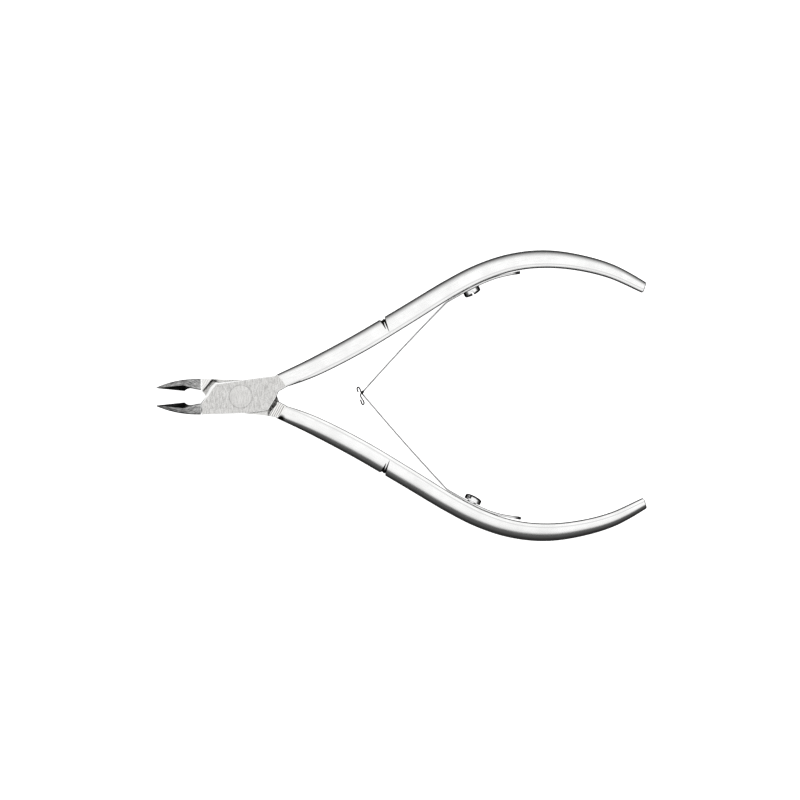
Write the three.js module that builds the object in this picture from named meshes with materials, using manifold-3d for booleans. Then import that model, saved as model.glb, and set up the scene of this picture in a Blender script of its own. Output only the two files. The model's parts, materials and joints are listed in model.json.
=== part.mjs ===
// Cuticle nipper: two forged halves crossed in a lap joint, one pivot rivet,
// and two leaf springs screwed to the handles and hooked together at their tips.
//
// Millimetres, +Z up. The nipper lies flat on z = 0 with its pivot on the Z axis,
// jaws toward -X, handle ends toward +X. The two halves are the same forging:
// the second is the first turned over about the X axis.
import * as THREE from 'three';
import { mergeVertices } from 'three/addons/utils/BufferGeometryUtils.js';
import Module from 'manifold-3d';

// ---------------------------------------------------------------- joint block
const JOINT_THICK = 6.0;
const MID = JOINT_THICK / 2;
const LAP_GAP = 0.08;
const SHANK_R = 1.6;
const RIVET_HEAD_R = 2.5;
const RIVET_CONE_R = 2.1;
const RIVET_HEAD_DEPTH = 0.7;
const RIVET_CONE_HIGH = 0.3;
const RIVET_CLEARANCE = 0.06;
const RIVET_SIDES = 48;

// ---------------------------------------------------------------- blades
const TIP_X = -18.2;
const ROOT_X = -8.6;
const HUMP_X = -12.2;
const HALF_OPEN = THREE.MathUtils.degToRad(5.74);
const TIP_HALF_THICK = 0.45;
const TIP_BACK = 2.06;
const ROOT_BACK = 3.84;
const RIDGE_PEAK_X = -12.4;
const RIDGE_PEAK = 2.5;
const RIDGE_END_X = -10.8;
const BLADE_CORNER_R = 0.35;
// How fast the blade thickens and its back moves out from tip to root, and how
// much thinner the back is than the ridge at the tip.
const THICKEN_POWER = 1.25;
const BACK_POWER = 2.3;
const BACK_THINNER = 0.2;
const RIDGE_SETBACK = 0.02;
const TIP_RIDGE_SETBACK = 0.05;
const BLADE_SEAT = 0.3;
// The blade starts a little below the flats of the block, under a small chamfer.
const BLADE_ROOT_HALF = 2.68;
const ROOT_CHAMFER = 0.35;

// ---------------------------------------------------------------- handles
// Stations along the bowed handle: plan position of the centre line, width in
// plan, height, and how square the domed section is.
const HANDLE_STATIONS = [
  { x: 8.45, y: 3.3, width: 3.1, height: 5.9, square: 5.0 },
  { x: 15.6, y: 6.3, width: 4.0, height: 5.5, square: 3.0 },
  { x: 25.4, y: 11.4, width: 4.25, height: 5.4, square: 2.5 },
  { x: 35.4, y: 17.35, width: 4.15, height: 5.5, square: 2.4 },
  { x: 45.0, y: 23.2, width: 3.95, height: 5.7, square: 2.4 },
  { x: 51.8, y: 26.62, width: 3.9, height: 5.8, square: 2.4 },
  { x: 58.6, y: 28.75, width: 3.8, height: 5.95, square: 2.4 },
  { x: 65.6, y: 29.4, width: 3.75, height: 6.0, square: 2.4 },
  { x: 72.8, y: 28.6, width: 3.4, height: 5.6, square: 2.4 },
  { x: 79.9, y: 26.62, width: 3.0, height: 5.0, square: 2.4 },
  { x: 86.8, y: 23.15, width: 2.3, height: 4.4, square: 2.4 },
];
const HANDLE_RINGS = 66;
const DOME_STEPS = 20;
const INNER_BEVEL = 0.6;
const INNER_BEVEL_DROP = 0.2;
const END_ROUND = 0.5;
// Sections lean along the handle at the joint and at the end face.
const ROOT_LEAN = 0.22;
const END_LEAN = 0.14;
// Two V-shaped file cuts across the outer side, which run out over the dome, and a
// shallow one that lowers the rib left between them.
// `side` and `tip` are places along the handle from FILE_CUT_X, `reach` is how
// far round the dome the cut runs.
const FILE_CUT_X = 31.5;
const FILE_CUTS = [
  { side: -0.38, tip: -0.62, reach: 75, width: 1.0, depth: 0.42 },
  { side: 0.3, tip: -0.3, reach: 87, width: 0.75, depth: 0.46 },
  { side: -0.15, tip: -0.2, reach: 48, width: 1.5, depth: 0.34 },
];
const FILE_CUT_OVER = 0.12;
const FILE_CUT_TIP = 0.12;
const FILE_CUT_RINGS = 16;

// ---------------------------------------------------------------- springs
const LEAF_THICK = 0.32;
const HOOK_THICK = 0.24;
const FOOT_THICK = 0.42;
// The tongue is upset into a short thick knuckle just before it enters the slot.
const KNUCKLE_THICK = 0.58;
const KNUCKLE_RUN = 0.985;
const KNUCKLE_REACH = 0.022;
// Shares of the way from the flex to the crossing where the tip narrows and thins.
const TIP_NARROWS = { from: 0.84, to: 0.94 };
const TIP_THINS = { from: 0.85, to: 1 };
const FOOT_WIDTH = 3.6;
const FOOT_WIDENS_BY = 0.25;
const FOOT_THICKENS_BY = 0.2;
const FOOT_RISES_FROM = 0.45;
const FOOT_STEPS = 30;
const ARM_STEPS = 90;
const HOOK_STEPS = 36;
const ARM_ROOT_WIDTH = 3.4;
const ARM_TIP_WIDTH = 2.2;
const TONGUE_WIDTH = 1.1;
const SLOTTED_TIP_WIDTH = 2.7;
const SLOT_WIDTH = 1.5;
const SLOT_LENGTH = 1.4;
const FOOT_GAP = 0.04;
const FLEX_GAP = 0.12;
const CROSSING = { x: 25.9, y: 0.67 };
const UPPER_FLEX = { x: 44.2, y: 20.14 };
const LOWER_FLEX = { x: 44.2, y: -20.14 };
const ARM_BOW = 0.18;
const FOOT_START_X = 46.8;
const FOOT_END_X = 59.6;
const UPPER_FOOT_LIFT = 0.32;
const LOWER_FOOT_LIFT = 0.48;
const SCREW_X = 48.35;

// ---------------------------------------------------------------- screws
const SCREW_SHANK_R = 0.95;
const SCREW_HOLE_R = 1.0;
const LEAF_HOLE_R = 1.1;
const SCREW_DEPTH = 2.2;
const SCREW_HEAD_R = 1.85;
const SCREW_HEAD_HIGH = 1.3;
const SCREW_RIM_HIGH = 0.86;
const SCREW_DOME = [{ radius: 1.59, high: 0.23 }, { radius: 0.92, high: 0.39 }];
const SCREW_SLOT_WIDE = 0.42;
const SCREW_SLOT_DEEP = 0.9;
const UPPER_HEAD_GAP = 0.03;
const LOWER_HEAD_GAP = 0.2;
// How far each driver slot is turned from upright.
const UPPER_SLOT_TURN = 0;
const LOWER_SLOT_TURN = THREE.MathUtils.degToRad(24);
const CUTTER_SIDES = 24;
const SCREW_SIDES = 32;

// ---------------------------------------------------------------- solid tools
const wasm = await Module();
wasm.setup();
const { Manifold, Mesh } = wasm;

function toSolid(geometry) {
  const bare = new THREE.BufferGeometry();
  bare.setAttribute('position', geometry.getAttribute('position').clone());
  if (geometry.index) {
    bare.setIndex(geometry.index.clone());
  }
  const welded = mergeVertices(bare, 1e-5);
  return new Manifold(new Mesh({
    numProp: 3,
    vertProperties: new Float32Array(welded.getAttribute('position').array),
    triVerts: new Uint32Array(welded.index.array),
  }));
}

function toGeometry(solid) {
  const mesh = solid.getMesh();
  const geometry = new THREE.BufferGeometry();
  const positions = new Float32Array(mesh.numVert * 3);
  for (let i = 0; i < mesh.numVert; i++) {
    for (let k = 0; k < 3; k++) {
      positions[i * 3 + k] = mesh.vertProperties[i * mesh.numProp + k];
    }
  }
  geometry.setAttribute('position', new THREE.BufferAttribute(positions, 3));
  geometry.setIndex(new THREE.BufferAttribute(new Uint32Array(mesh.triVerts), 1));
  return mergeVertices(geometry, 1e-5);
}

// Skin a closed tube over rings of equal point count and cap both ends.
function loft(rings) {
  const count = rings[0].length;
  const positions = [];
  const faces = [];
  for (const ring of rings) {
    for (const p of ring) {
      positions.push(p.x, p.y, p.z);
    }
  }
  for (let k = 0; k + 1 < rings.length; k++) {
    for (let i = 0; i < count; i++) {
      const a = k * count + i;
      const b = k * count + (i + 1) % count;
      faces.push(a, b, b + count, a, b + count, a + count);
    }
  }
  const last = rings.length - 1;
  const caps = [
    { ring: rings[0], start: 0, flip: true },
    { ring: rings[last], start: last * count, flip: false },
  ];
  for (const { ring, start, flip } of caps) {
    const middle = positions.length / 3;
    const centre = ring.reduce((sum, p) => sum.add(p), new THREE.Vector3()).divideScalar(count);
    positions.push(centre.x, centre.y, centre.z);
    for (let i = 0; i < count; i++) {
      const a = start + i;
      const b = start + (i + 1) % count;
      faces.push(middle, flip ? b : a, flip ? a : b);
    }
  }
  const at = (i) => new THREE.Vector3(positions[i * 3], positions[i * 3 + 1], positions[i * 3 + 2]);
  let volume = 0;
  for (let i = 0; i < faces.length; i += 3) {
    volume += at(faces[i]).dot(at(faces[i + 1]).cross(at(faces[i + 2])));
  }
  if (volume < 0) {
    for (let i = 0; i < faces.length; i += 3) {
      [faces[i + 1], faces[i + 2]] = [faces[i + 2], faces[i + 1]];
    }
  }
  const geometry = new THREE.BufferGeometry();
  geometry.setAttribute('position', new THREE.Float32BufferAttribute(positions, 3));
  geometry.setIndex(faces);
  return toSolid(geometry);
}

// A straight-sided slab from a plan outline, between two heights.
function slab(outline, bottom, top) {
  const shape = new THREE.Shape(outline.map(([x, y]) => new THREE.Vector2(x, y)));
  const geometry = new THREE.ExtrudeGeometry(shape, { depth: top - bottom, bevelEnabled: false });
  geometry.translate(0, 0, bottom);
  return toSolid(geometry);
}

// A turned piece: (radius, height) profile spun about +Z.
function turned(profile, sides) {
  const points = profile.map(([r, z]) => new THREE.Vector2(r, z));
  const geometry = new THREE.LatheGeometry(points, sides);
  geometry.rotateX(Math.PI / 2);
  return toSolid(geometry);
}

function along(solid, origin, direction) {
  const turn = new THREE.Quaternion();
  turn.setFromUnitVectors(new THREE.Vector3(0, 0, 1), direction.clone().normalize());
  const matrix = new THREE.Matrix4().compose(origin, turn, new THREE.Vector3(1, 1, 1));
  return solid.transform(matrix.elements);
}

function arcPoints(radius, fromDegrees, toDegrees, steps) {
  const points = [];
  for (let i = 0; i <= steps; i++) {
    const angle = THREE.MathUtils.degToRad(fromDegrees + (toDegrees - fromDegrees) * i / steps);
    points.push([radius * Math.cos(angle), radius * Math.sin(angle)]);
  }
  return points;
}

// ---------------------------------------------------------------- blade
// Drawn with its cutting edge toward the middle line, all y positive.
function bladeInner(x) {
  if (x <= HUMP_X) {
    return -x * Math.tan(HALF_OPEN);
  }
  const relief = new THREE.SplineCurve([
    new THREE.Vector2(HUMP_X, -HUMP_X * Math.tan(HALF_OPEN)),
    new THREE.Vector2(-11.55, 1.66),
    new THREE.Vector2(-10.8, 1.8),
    new THREE.Vector2(-9.7, 1.6),
    new THREE.Vector2(ROOT_X, 1.42),
  ]);
  let low = 0;
  let high = 1;
  for (let i = 0; i < 30; i++) {
    const t = (low + high) / 2;
    if (relief.getPoint(t).x < x) {
      low = t;
    } else {
      high = t;
    }
  }
  return relief.getPoint(low).y;
}

function bladeRidge(x) {
  const tip = bladeInner(TIP_X) + TIP_RIDGE_SETBACK;
  const end = bladeInner(RIDGE_END_X) + RIDGE_SETBACK;
  if (x <= RIDGE_PEAK_X) {
    return THREE.MathUtils.mapLinear(x, TIP_X, RIDGE_PEAK_X, tip, RIDGE_PEAK);
  }
  if (x <= RIDGE_END_X) {
    return THREE.MathUtils.mapLinear(x, RIDGE_PEAK_X, RIDGE_END_X, RIDGE_PEAK, end);
  }
  return bladeInner(x) + RIDGE_SETBACK;
}

function bladeRing(x) {
  const u = (x - TIP_X) / (ROOT_X - TIP_X);
  const half = THREE.MathUtils.lerp(TIP_HALF_THICK, BLADE_ROOT_HALF, 1 - Math.pow(1 - u, THICKEN_POWER));
  const inner = bladeInner(x);
  const ridge = bladeRidge(x);
  const back = TIP_BACK + (ROOT_BACK - TIP_BACK) * (1 - Math.pow(1 - u, BACK_POWER));
  const backHalf = half * (1 - BACK_THINNER * Math.sqrt(1 - u));
  const corner = Math.min(BLADE_CORNER_R, (back - ridge) * 0.4, backHalf * 0.5);
  const upper = [
    [ridge, half],
    [ridge + (back - corner - ridge) * 0.5, half - (half - backHalf) * 0.4],
    [back - corner, backHalf],
    [back - corner * 0.3, backHalf - corner * 0.3],
    [back, backHalf - corner],
  ];
  const lower = upper.map(([y, z]) => [y, -z]).reverse();
  return [[inner, 0], ...upper, ...lower].map(([y, z]) => new THREE.Vector3(x, -y, MID + z));
}

function blade() {
  const stations = [];
  for (let i = 0; i <= 10; i++) {
    stations.push(THREE.MathUtils.lerp(TIP_X, RIDGE_PEAK_X, i / 10));
  }
  stations.push(HUMP_X);
  for (let i = 1; i <= 6; i++) {
    stations.push(THREE.MathUtils.lerp(HUMP_X, RIDGE_END_X, i / 6));
  }
  for (let i = 1; i <= 6; i++) {
    stations.push(THREE.MathUtils.lerp(RIDGE_END_X, ROOT_X, i / 6));
  }
  const rings = stations.map(bladeRing);
  const seat = rings[rings.length - 1].map((p) => new THREE.Vector3(ROOT_X + BLADE_SEAT, p.y, p.z));
  return loft([...rings, seat]);
}

// ---------------------------------------------------------------- handle
const HANDLE_LINE = new THREE.SplineCurve(HANDLE_STATIONS.map((s) => new THREE.Vector2(s.x, s.y)));
const HANDLE_SIZE = new THREE.CatmullRomCurve3(
  HANDLE_STATIONS.map((s) => new THREE.Vector3(s.width, s.height, s.square)), false, 'catmullrom', 0.5);

function handleAt(t) {
  const centre = HANDLE_LINE.getPoint(t);
  const ahead = HANDLE_LINE.getTangent(t);
  const size = HANDLE_SIZE.getPoint(t);
  return {
    centre,
    ahead,
    outward: new THREE.Vector2(-ahead.y, ahead.x),
    width: size.x,
    height: Math.min(size.y, JOINT_THICK),
    square: size.z,
  };
}

function handleParameterAtX(x) {
  let low = 0;
  let high = 1;
  for (let i = 0; i < 40; i++) {
    const t = (low + high) / 2;
    if (handleAt(t).centre.x < x) {
      low = t;
    } else {
      high = t;
    }
  }
  return (low + high) / 2;
}

function handleSection(width, height, square, bevel) {
  const start = -width / 2 + bevel;
  const reach = width - bevel;
  const half = height / 2;
  const drop = Math.min(INNER_BEVEL_DROP, bevel * 0.8);
  const points = [];
  for (let i = 0; i <= DOME_STEPS; i++) {
    const angle = Math.PI / 2 - Math.PI * i / DOME_STEPS;
    const across = Math.pow(Math.abs(Math.cos(angle)), 2 / square);
    const up = Math.pow(Math.abs(Math.sin(angle)), 2 / square) * Math.sign(Math.sin(angle));
    points.push([start + reach * across, half * up]);
  }
  points.push([-width / 2, -half + drop]);
  points.push([-width / 2, half - drop]);
  return points;
}

function handleRing(t, inset) {
  const place = handleAt(t);
  const bevel = INNER_BEVEL * THREE.MathUtils.smoothstep(t, -0.02, 0.12);
  const section = handleSection(
    place.width - 2 * inset, place.height - 2 * inset, place.square, Math.max(0.1, bevel - inset));
  const lean = ROOT_LEAN * (1 - THREE.MathUtils.smoothstep(t, 0, 0.06))
    + END_LEAN * THREE.MathUtils.smoothstep(t, 0.95, 1);
  return section.map(([n, z]) => new THREE.Vector3(
    place.centre.x + place.outward.x * n - place.ahead.x * n * lean,
    place.centre.y + place.outward.y * n - place.ahead.y * n * lean,
    MID + z));
}

function handle() {
  const rings = [];
  const length = HANDLE_LINE.getLength();
  const last = 1 - END_ROUND / length;
  for (let i = 0; i <= HANDLE_RINGS; i++) {
    rings.push(handleRing(last * i / HANDLE_RINGS, 0));
  }
  for (let i = 1; i <= 4; i++) {
    const angle = Math.PI / 2 * i / 4;
    rings.push(handleRing(last + (1 - last) * Math.sin(angle), END_ROUND * (1 - Math.cos(angle)) * 0.9));
  }
  return loft(rings);
}

function fileCut({ side, tip, reach, width, depth }) {
  const place = handleAt(handleParameterAtX(FILE_CUT_X));
  const wide = place.width - INNER_BEVEL;
  const half = place.height / 2;
  const power = place.square - 1;
  const last = Math.pow(Math.cos(THREE.MathUtils.degToRad(reach)), 2 / place.square);
  const rings = [];
  for (let i = 0; i <= FILE_CUT_RINGS; i++) {
    const angle = THREE.MathUtils.degToRad(reach) * THREE.MathUtils.lerp(-1, 1, i / FILE_CUT_RINGS);
    const across = Math.pow(Math.cos(angle), 2 / place.square);
    const up = Math.pow(Math.abs(Math.sin(angle)), 2 / place.square) * Math.sign(angle);
    const run = (1 - across) / (1 - last);
    const size = THREE.MathUtils.lerp(1, FILE_CUT_TIP, run);
    const n = -place.width / 2 + INNER_BEVEL + wide * across;
    const lift = new THREE.Vector2(Math.pow(across, power) / wide, Math.pow(Math.abs(up), power) / half);
    lift.y *= Math.sign(up);
    lift.normalize();
    const profile = [
      [-width / 2 * size, FILE_CUT_OVER * size],
      [0, -depth * size],
      [width / 2 * size, FILE_CUT_OVER * size],
    ];
    rings.push(profile.map(([s, d]) => {
      const m = n + lift.x * d;
      const l = THREE.MathUtils.lerp(side, tip, run) + s;
      return new THREE.Vector3(
        place.centre.x + place.outward.x * m + place.ahead.x * l,
        place.centre.y + place.outward.y * m + place.ahead.y * l,
        MID + half * up + lift.y * d);
    }));
  }
  return loft(rings);
}

// ---------------------------------------------------------------- one forged half
const PLATE_OUTLINE = [
  [-8.6, -3.84],
  [-8.6, -1.5],
  [-7.5, -0.05],
  [-7.38, 0.5],
  [-6.98, 1.2],
  [-6.6, 1.85],
  [-5.45, 3.05],
  [-4.6, 2.98],
  [-1.83, 3.3],
  [2.34, 3.78],
  [6.67, 4.33],
  [7.9, 4.56],
  [9.3, 2.6],
  [8.1, 1.2],
  [7.55, -0.2],
  [5.85, -2.98],
  [1.94, -3.53],
];
const JAW_BLOCK = [
  [-8.6, -3.84],
  [-8.6, -1.5],
  [-8.15, -1.08],
  [-5.65, -3.76],
];
// Full-height shoulder behind the joint; its joint side clears the swinging plate.
const HANDLE_BLOCK = [
  [5.95, 4.17],
  [6.4, 3.2],
  ...arcPoints(7.88, 13.5, 8.2, 3),
  [8.4, 1.32],
  [9.75, 2.25],
  [8.05, 4.7],
];

// Wedge that takes the sharp corner off the block where the blade begins.
function rootChamfer(level, up) {
  const outer = 1.0;
  const profile = [
    [ROOT_X - outer, level - up * (ROOT_CHAMFER + outer)],
    [ROOT_X + ROOT_CHAMFER + outer, level + up * outer],
    [ROOT_X - outer, level + up * outer],
  ];
  return loft([-ROOT_BACK - outer, 0].map((y) => profile.map(([x, z]) => new THREE.Vector3(x, y, z))));
}

function forging() {
  const plate = slab(PLATE_OUTLINE, MID + LAP_GAP / 2, JOINT_THICK);
  const jawBlock = slab(JAW_BLOCK, 0, JOINT_THICK);
  const handleBlock = slab(HANDLE_BLOCK, 0, JOINT_THICK);
  const block = Manifold.union([plate, jawBlock, handleBlock])
    .subtract(rootChamfer(JOINT_THICK, 1))
    .subtract(rootChamfer(0, -1));
  const body = Manifold.union([block, blade(), handle()]);
  const clear = RIVET_CLEARANCE;
  const rivetSeat = turned([
    [0, -1],
    [SHANK_R + clear, -1],
    [SHANK_R + clear, JOINT_THICK - RIVET_HEAD_DEPTH],
    [RIVET_CONE_R + clear, JOINT_THICK - RIVET_HEAD_DEPTH],
    [RIVET_HEAD_R + clear, JOINT_THICK - RIVET_HEAD_DEPTH + RIVET_CONE_HIGH],
    [RIVET_HEAD_R + clear, JOINT_THICK + 1],
    [0, JOINT_THICK + 1],
  ], RIVET_SIDES);
  const cuts = FILE_CUTS.map(fileCut);
  return body.subtract(Manifold.union([rivetSeat, screwHole(), ...cuts]));
}

// ---------------------------------------------------------------- spring seats
function screwSeat() {
  const t = handleParameterAtX(SCREW_X);
  const place = handleAt(t);
  const face = place.centre.clone().addScaledVector(place.outward, -place.width / 2);
  return { face, outward: place.outward };
}

function screwHole() {
  const seat = screwSeat();
  const cutter = turned([
    [0, -1],
    [SCREW_HOLE_R, -1],
    [SCREW_HOLE_R, SCREW_DEPTH],
    [0, SCREW_DEPTH + 0.4],
  ], CUTTER_SIDES);
  return along(cutter, new THREE.Vector3(seat.face.x, seat.face.y, MID),
    new THREE.Vector3(seat.outward.x, seat.outward.y, 0));
}

// Leaf path for the +Y handle, from the flex point outward along the inner face.
// Past the screw it stands off the face by up to `lift`.
function footPath(flex, lift) {
  const points = [new THREE.Vector2(flex.x, flex.y)];
  const start = handleParameterAtX(FOOT_START_X);
  const stop = handleParameterAtX(FOOT_END_X);
  for (let i = 0; i <= 9; i++) {
    const t = THREE.MathUtils.lerp(start, stop, i / 9);
    const place = handleAt(t);
    const stand = FOOT_GAP + lift * THREE.MathUtils.smoothstep(i / 9, FOOT_RISES_FROM, 1);
    const off = place.width / 2 + stand + FOOT_THICK / 2;
    points.push(place.centre.clone().addScaledVector(place.outward, -off));
  }
  return new THREE.SplineCurve(points);
}

// A flat strip standing on edge: swept along a plan curve, width measured in z.
// Evenly stepped points of a curve, with the share of the way along it.
function stepsOf(curve, steps, runFrom) {
  return Array.from({ length: steps + 1 }, (_, i) => {
    return { point: curve.getPoint(i / steps), run: runFrom + i / steps };
  });
}

// Skin a leaf over a path, with its width and thickness set by the run at each point.
function strip(path, widthAt, thickAt) {
  const rings = path.map(({ point, run }, i) => {
    const before = path[Math.max(0, i - 1)].point;
    const after = path[Math.min(path.length - 1, i + 1)].point;
    const ahead = after.clone().sub(before).normalize();
    const half = widthAt(run) / 2;
    const side = new THREE.Vector2(-ahead.y, ahead.x).multiplyScalar(thickAt(run) / 2);
    return [
      new THREE.Vector3(point.x + side.x, point.y + side.y, MID + half),
      new THREE.Vector3(point.x + side.x, point.y + side.y, MID - half),
      new THREE.Vector3(point.x - side.x, point.y - side.y, MID - half),
      new THREE.Vector3(point.x - side.x, point.y - side.y, MID + half),
    ];
  });
  return loft(rings);
}

function mirrorY(curve) {
  return new THREE.SplineCurve(curve.points.map((p) => new THREE.Vector2(p.x, -p.y)));
}

// Cut a strip square to its path a short way from the flex point.
function trimAtFlex(solid, flex, direction) {
  const normal = direction.clone().normalize();
  const offset = normal.x * flex.x + normal.y * flex.y + FLEX_GAP / 2;
  return solid.trimByPlane([normal.x, normal.y, 0], offset);
}

function springFoot(flex, side, lift) {
  let curve = footPath(new THREE.Vector2(flex.x, Math.abs(flex.y)), lift);
  const direction = curve.getTangent(0);
  if (side < 0) {
    curve = mirrorY(curve);
    direction.y = -direction.y;
  }
  const width = (t) => {
    const wider = THREE.MathUtils.smoothstep(t, 0, FOOT_WIDENS_BY);
    return THREE.MathUtils.lerp(ARM_ROOT_WIDTH, FOOT_WIDTH, wider);
  };
  const thick = (t) => {
    const thicker = THREE.MathUtils.smoothstep(t, 0, FOOT_THICKENS_BY);
    return THREE.MathUtils.lerp(LEAF_THICK, FOOT_THICK, thicker);
  };
  const foot = strip(stepsOf(curve, FOOT_STEPS, 0), width, thick);
  const seat = screwSeat();
  const hole = along(turned([[0, -3], [LEAF_HOLE_R, -3], [LEAF_HOLE_R, 3], [0, 3]], CUTTER_SIDES),
    new THREE.Vector3(seat.face.x, seat.face.y * side, MID),
    new THREE.Vector3(seat.outward.x, seat.outward.y * side, 0));
  return trimAtFlex(foot.subtract(hole), flex, direction);
}

// Plan path of a spring arm from its flex point to the crossing, then on to the hooked end.
function armCurve(flex, side) {
  const a = new THREE.Vector2(flex.x, flex.y);
  const c = new THREE.Vector2(CROSSING.x, CROSSING.y);
  const run = c.clone().sub(a);
  const across = new THREE.Vector2(-run.y, run.x).normalize();
  const points = [];
  for (let i = 0; i <= 7; i++) {
    const s = i / 8;
    const bow = -side * ARM_BOW * Math.sin(Math.PI * s);
    points.push(a.clone().addScaledVector(run, s).addScaledVector(across, bow));
  }
  points.push(c);
  return new THREE.SplineCurve(points);
}

const UPPER_HOOK = [
  [25.68, 0.38],
  [25.66, 0.06],
  [25.82, -0.28],
  [26.06, -0.66],
  [26.28, -1.04],
  [26.4, -1.4],
  [26.34, -1.72],
  [26.1, -1.8],
  [25.92, -1.58],
  [25.8, -1.2],
  [25.62, -0.7],
];
const LOWER_HOOK = [
  [25.72, 1.0],
  [25.6, 1.38],
  [25.44, 1.7],
  [25.24, 1.93],
  [25.0, 1.86],
  [24.94, 1.56],
  [25.03, 1.2],
  [25.15, 0.85],
];

function springArm(flex, side, hook) {
  const arm = armCurve(flex, side);
  const bend = new THREE.SplineCurve([[CROSSING.x, CROSSING.y], ...hook].map(([x, y]) => {
    return new THREE.Vector2(x, y);
  }));
  const path = [...stepsOf(arm, ARM_STEPS, 0), ...stepsOf(bend, HOOK_STEPS, 1).slice(1)];
  const male = side > 0;
  const width = (run) => {
    const base = THREE.MathUtils.lerp(ARM_ROOT_WIDTH, ARM_TIP_WIDTH, Math.min(1, run));
    const tip = THREE.MathUtils.smoothstep(run, TIP_NARROWS.from, TIP_NARROWS.to);
    return THREE.MathUtils.lerp(base, male ? TONGUE_WIDTH : SLOTTED_TIP_WIDTH, tip);
  };
  const thick = (run) => {
    const thinner = THREE.MathUtils.smoothstep(run, TIP_THINS.from, TIP_THINS.to);
    const leaf = THREE.MathUtils.lerp(LEAF_THICK, HOOK_THICK, thinner);
    const away = Math.abs(run - KNUCKLE_RUN) / KNUCKLE_REACH;
    const swell = male ? 1 - THREE.MathUtils.smoothstep(away, 0.2, 1) : 0;
    return THREE.MathUtils.lerp(leaf, KNUCKLE_THICK, swell);
  };
  let solid = strip(path, width, thick);
  if (!male) {
    const heading = arm.getTangent(1);
    const slot = new THREE.BoxGeometry(SLOT_LENGTH, 1.4, SLOT_WIDTH);
    slot.rotateZ(Math.atan2(heading.y, heading.x));
    slot.translate(CROSSING.x, CROSSING.y, MID);
    solid = solid.subtract(toSolid(slot));
  }
  return trimAtFlex(solid, flex, arm.getTangent(0));
}

function springScrew(side, gap, turn) {
  const seat = screwSeat();
  const under = -(FOOT_GAP + FOOT_THICK + gap);
  const rim = under - SCREW_RIM_HIGH;
  const profile = [
    [0, SCREW_DEPTH - 0.1],
    [SCREW_SHANK_R * 0.7, SCREW_DEPTH - 0.1],
    [SCREW_SHANK_R, SCREW_DEPTH - 0.4],
    [SCREW_SHANK_R, under],
    [SCREW_HEAD_R, under],
    [SCREW_HEAD_R, rim],
    ...SCREW_DOME.map(({ radius, high }) => [radius, rim - high]),
    [0, under - SCREW_HEAD_HIGH],
  ];
  const body = turned(profile.reverse(), SCREW_SIDES);
  const slot = new THREE.BoxGeometry(SCREW_SLOT_WIDE, SCREW_HEAD_R * 3, SCREW_SLOT_DEEP * 2);
  const upright = Math.atan2(seat.outward.y * side, seat.outward.x) - Math.PI / 2;
  slot.rotateZ(upright + turn);
  slot.translate(0, 0, under - SCREW_HEAD_HIGH);
  const screw = body.subtract(toSolid(slot));
  return along(screw, new THREE.Vector3(seat.face.x, seat.face.y * side, MID),
    new THREE.Vector3(seat.outward.x, seat.outward.y * side, 0));
}

function pivotRivet() {
  const low = RIVET_HEAD_DEPTH;
  const high = JOINT_THICK - RIVET_HEAD_DEPTH;
  const lip = RIVET_CLEARANCE;
  return turned([
    [0, 0],
    [RIVET_HEAD_R, 0],
    [RIVET_HEAD_R, low - RIVET_CONE_HIGH],
    [RIVET_CONE_R, low - lip],
    [SHANK_R, low - lip],
    [SHANK_R, high + lip],
    [RIVET_CONE_R, high + lip],
    [RIVET_HEAD_R, high + RIVET_CONE_HIGH],
    [RIVET_HEAD_R, JOINT_THICK],
    [0, JOINT_THICK],
  ], RIVET_SIDES);
}

// ---------------------------------------------------------------- assembly
const FORGED = { color: 0xe6e7e8, roughness: 0.16, metalness: 1.0 };
const GROUND = { color: 0xc9c9c5, roughness: 0.42, metalness: 1.0 };
const SPRING = { color: 0xd0d2d4, roughness: 0.22, metalness: 1.0 };
const SCREW = { color: 0xd8dadb, roughness: 0.18, metalness: 1.0 };

const part = new THREE.Group();
part.name = 'cuticle_nipper';

function add(name, solid, look) {
  const mesh = new THREE.Mesh(toGeometry(solid), new THREE.MeshStandardMaterial(look));
  mesh.name = name;
  part.add(mesh);
}

const upperHalf = forging();
const turnedOver = upperHalf.rotate([180, 0, 0]).translate([0, 0, JOINT_THICK]);

add('upper_handle_half', upperHalf, FORGED);
add('lower_handle_half', turnedOver, FORGED);
add('pivot_rivet', pivotRivet(), GROUND);
add('upper_spring_foot', springFoot(UPPER_FLEX, 1, UPPER_FOOT_LIFT), SPRING);
add('upper_spring_arm', springArm(UPPER_FLEX, 1, UPPER_HOOK), SPRING);
add('lower_spring_foot', springFoot(LOWER_FLEX, -1, LOWER_FOOT_LIFT), SPRING);
add('lower_spring_arm', springArm(LOWER_FLEX, -1, LOWER_HOOK), SPRING);
add('upper_spring_screw', springScrew(1, UPPER_HEAD_GAP, UPPER_SLOT_TURN), SCREW);
add('lower_spring_screw', springScrew(-1, LOWER_HEAD_GAP, LOWER_SLOT_TURN), SCREW);

export default part;
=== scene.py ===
import json
import math

import bpy
from mathutils import Matrix, Vector


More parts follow.
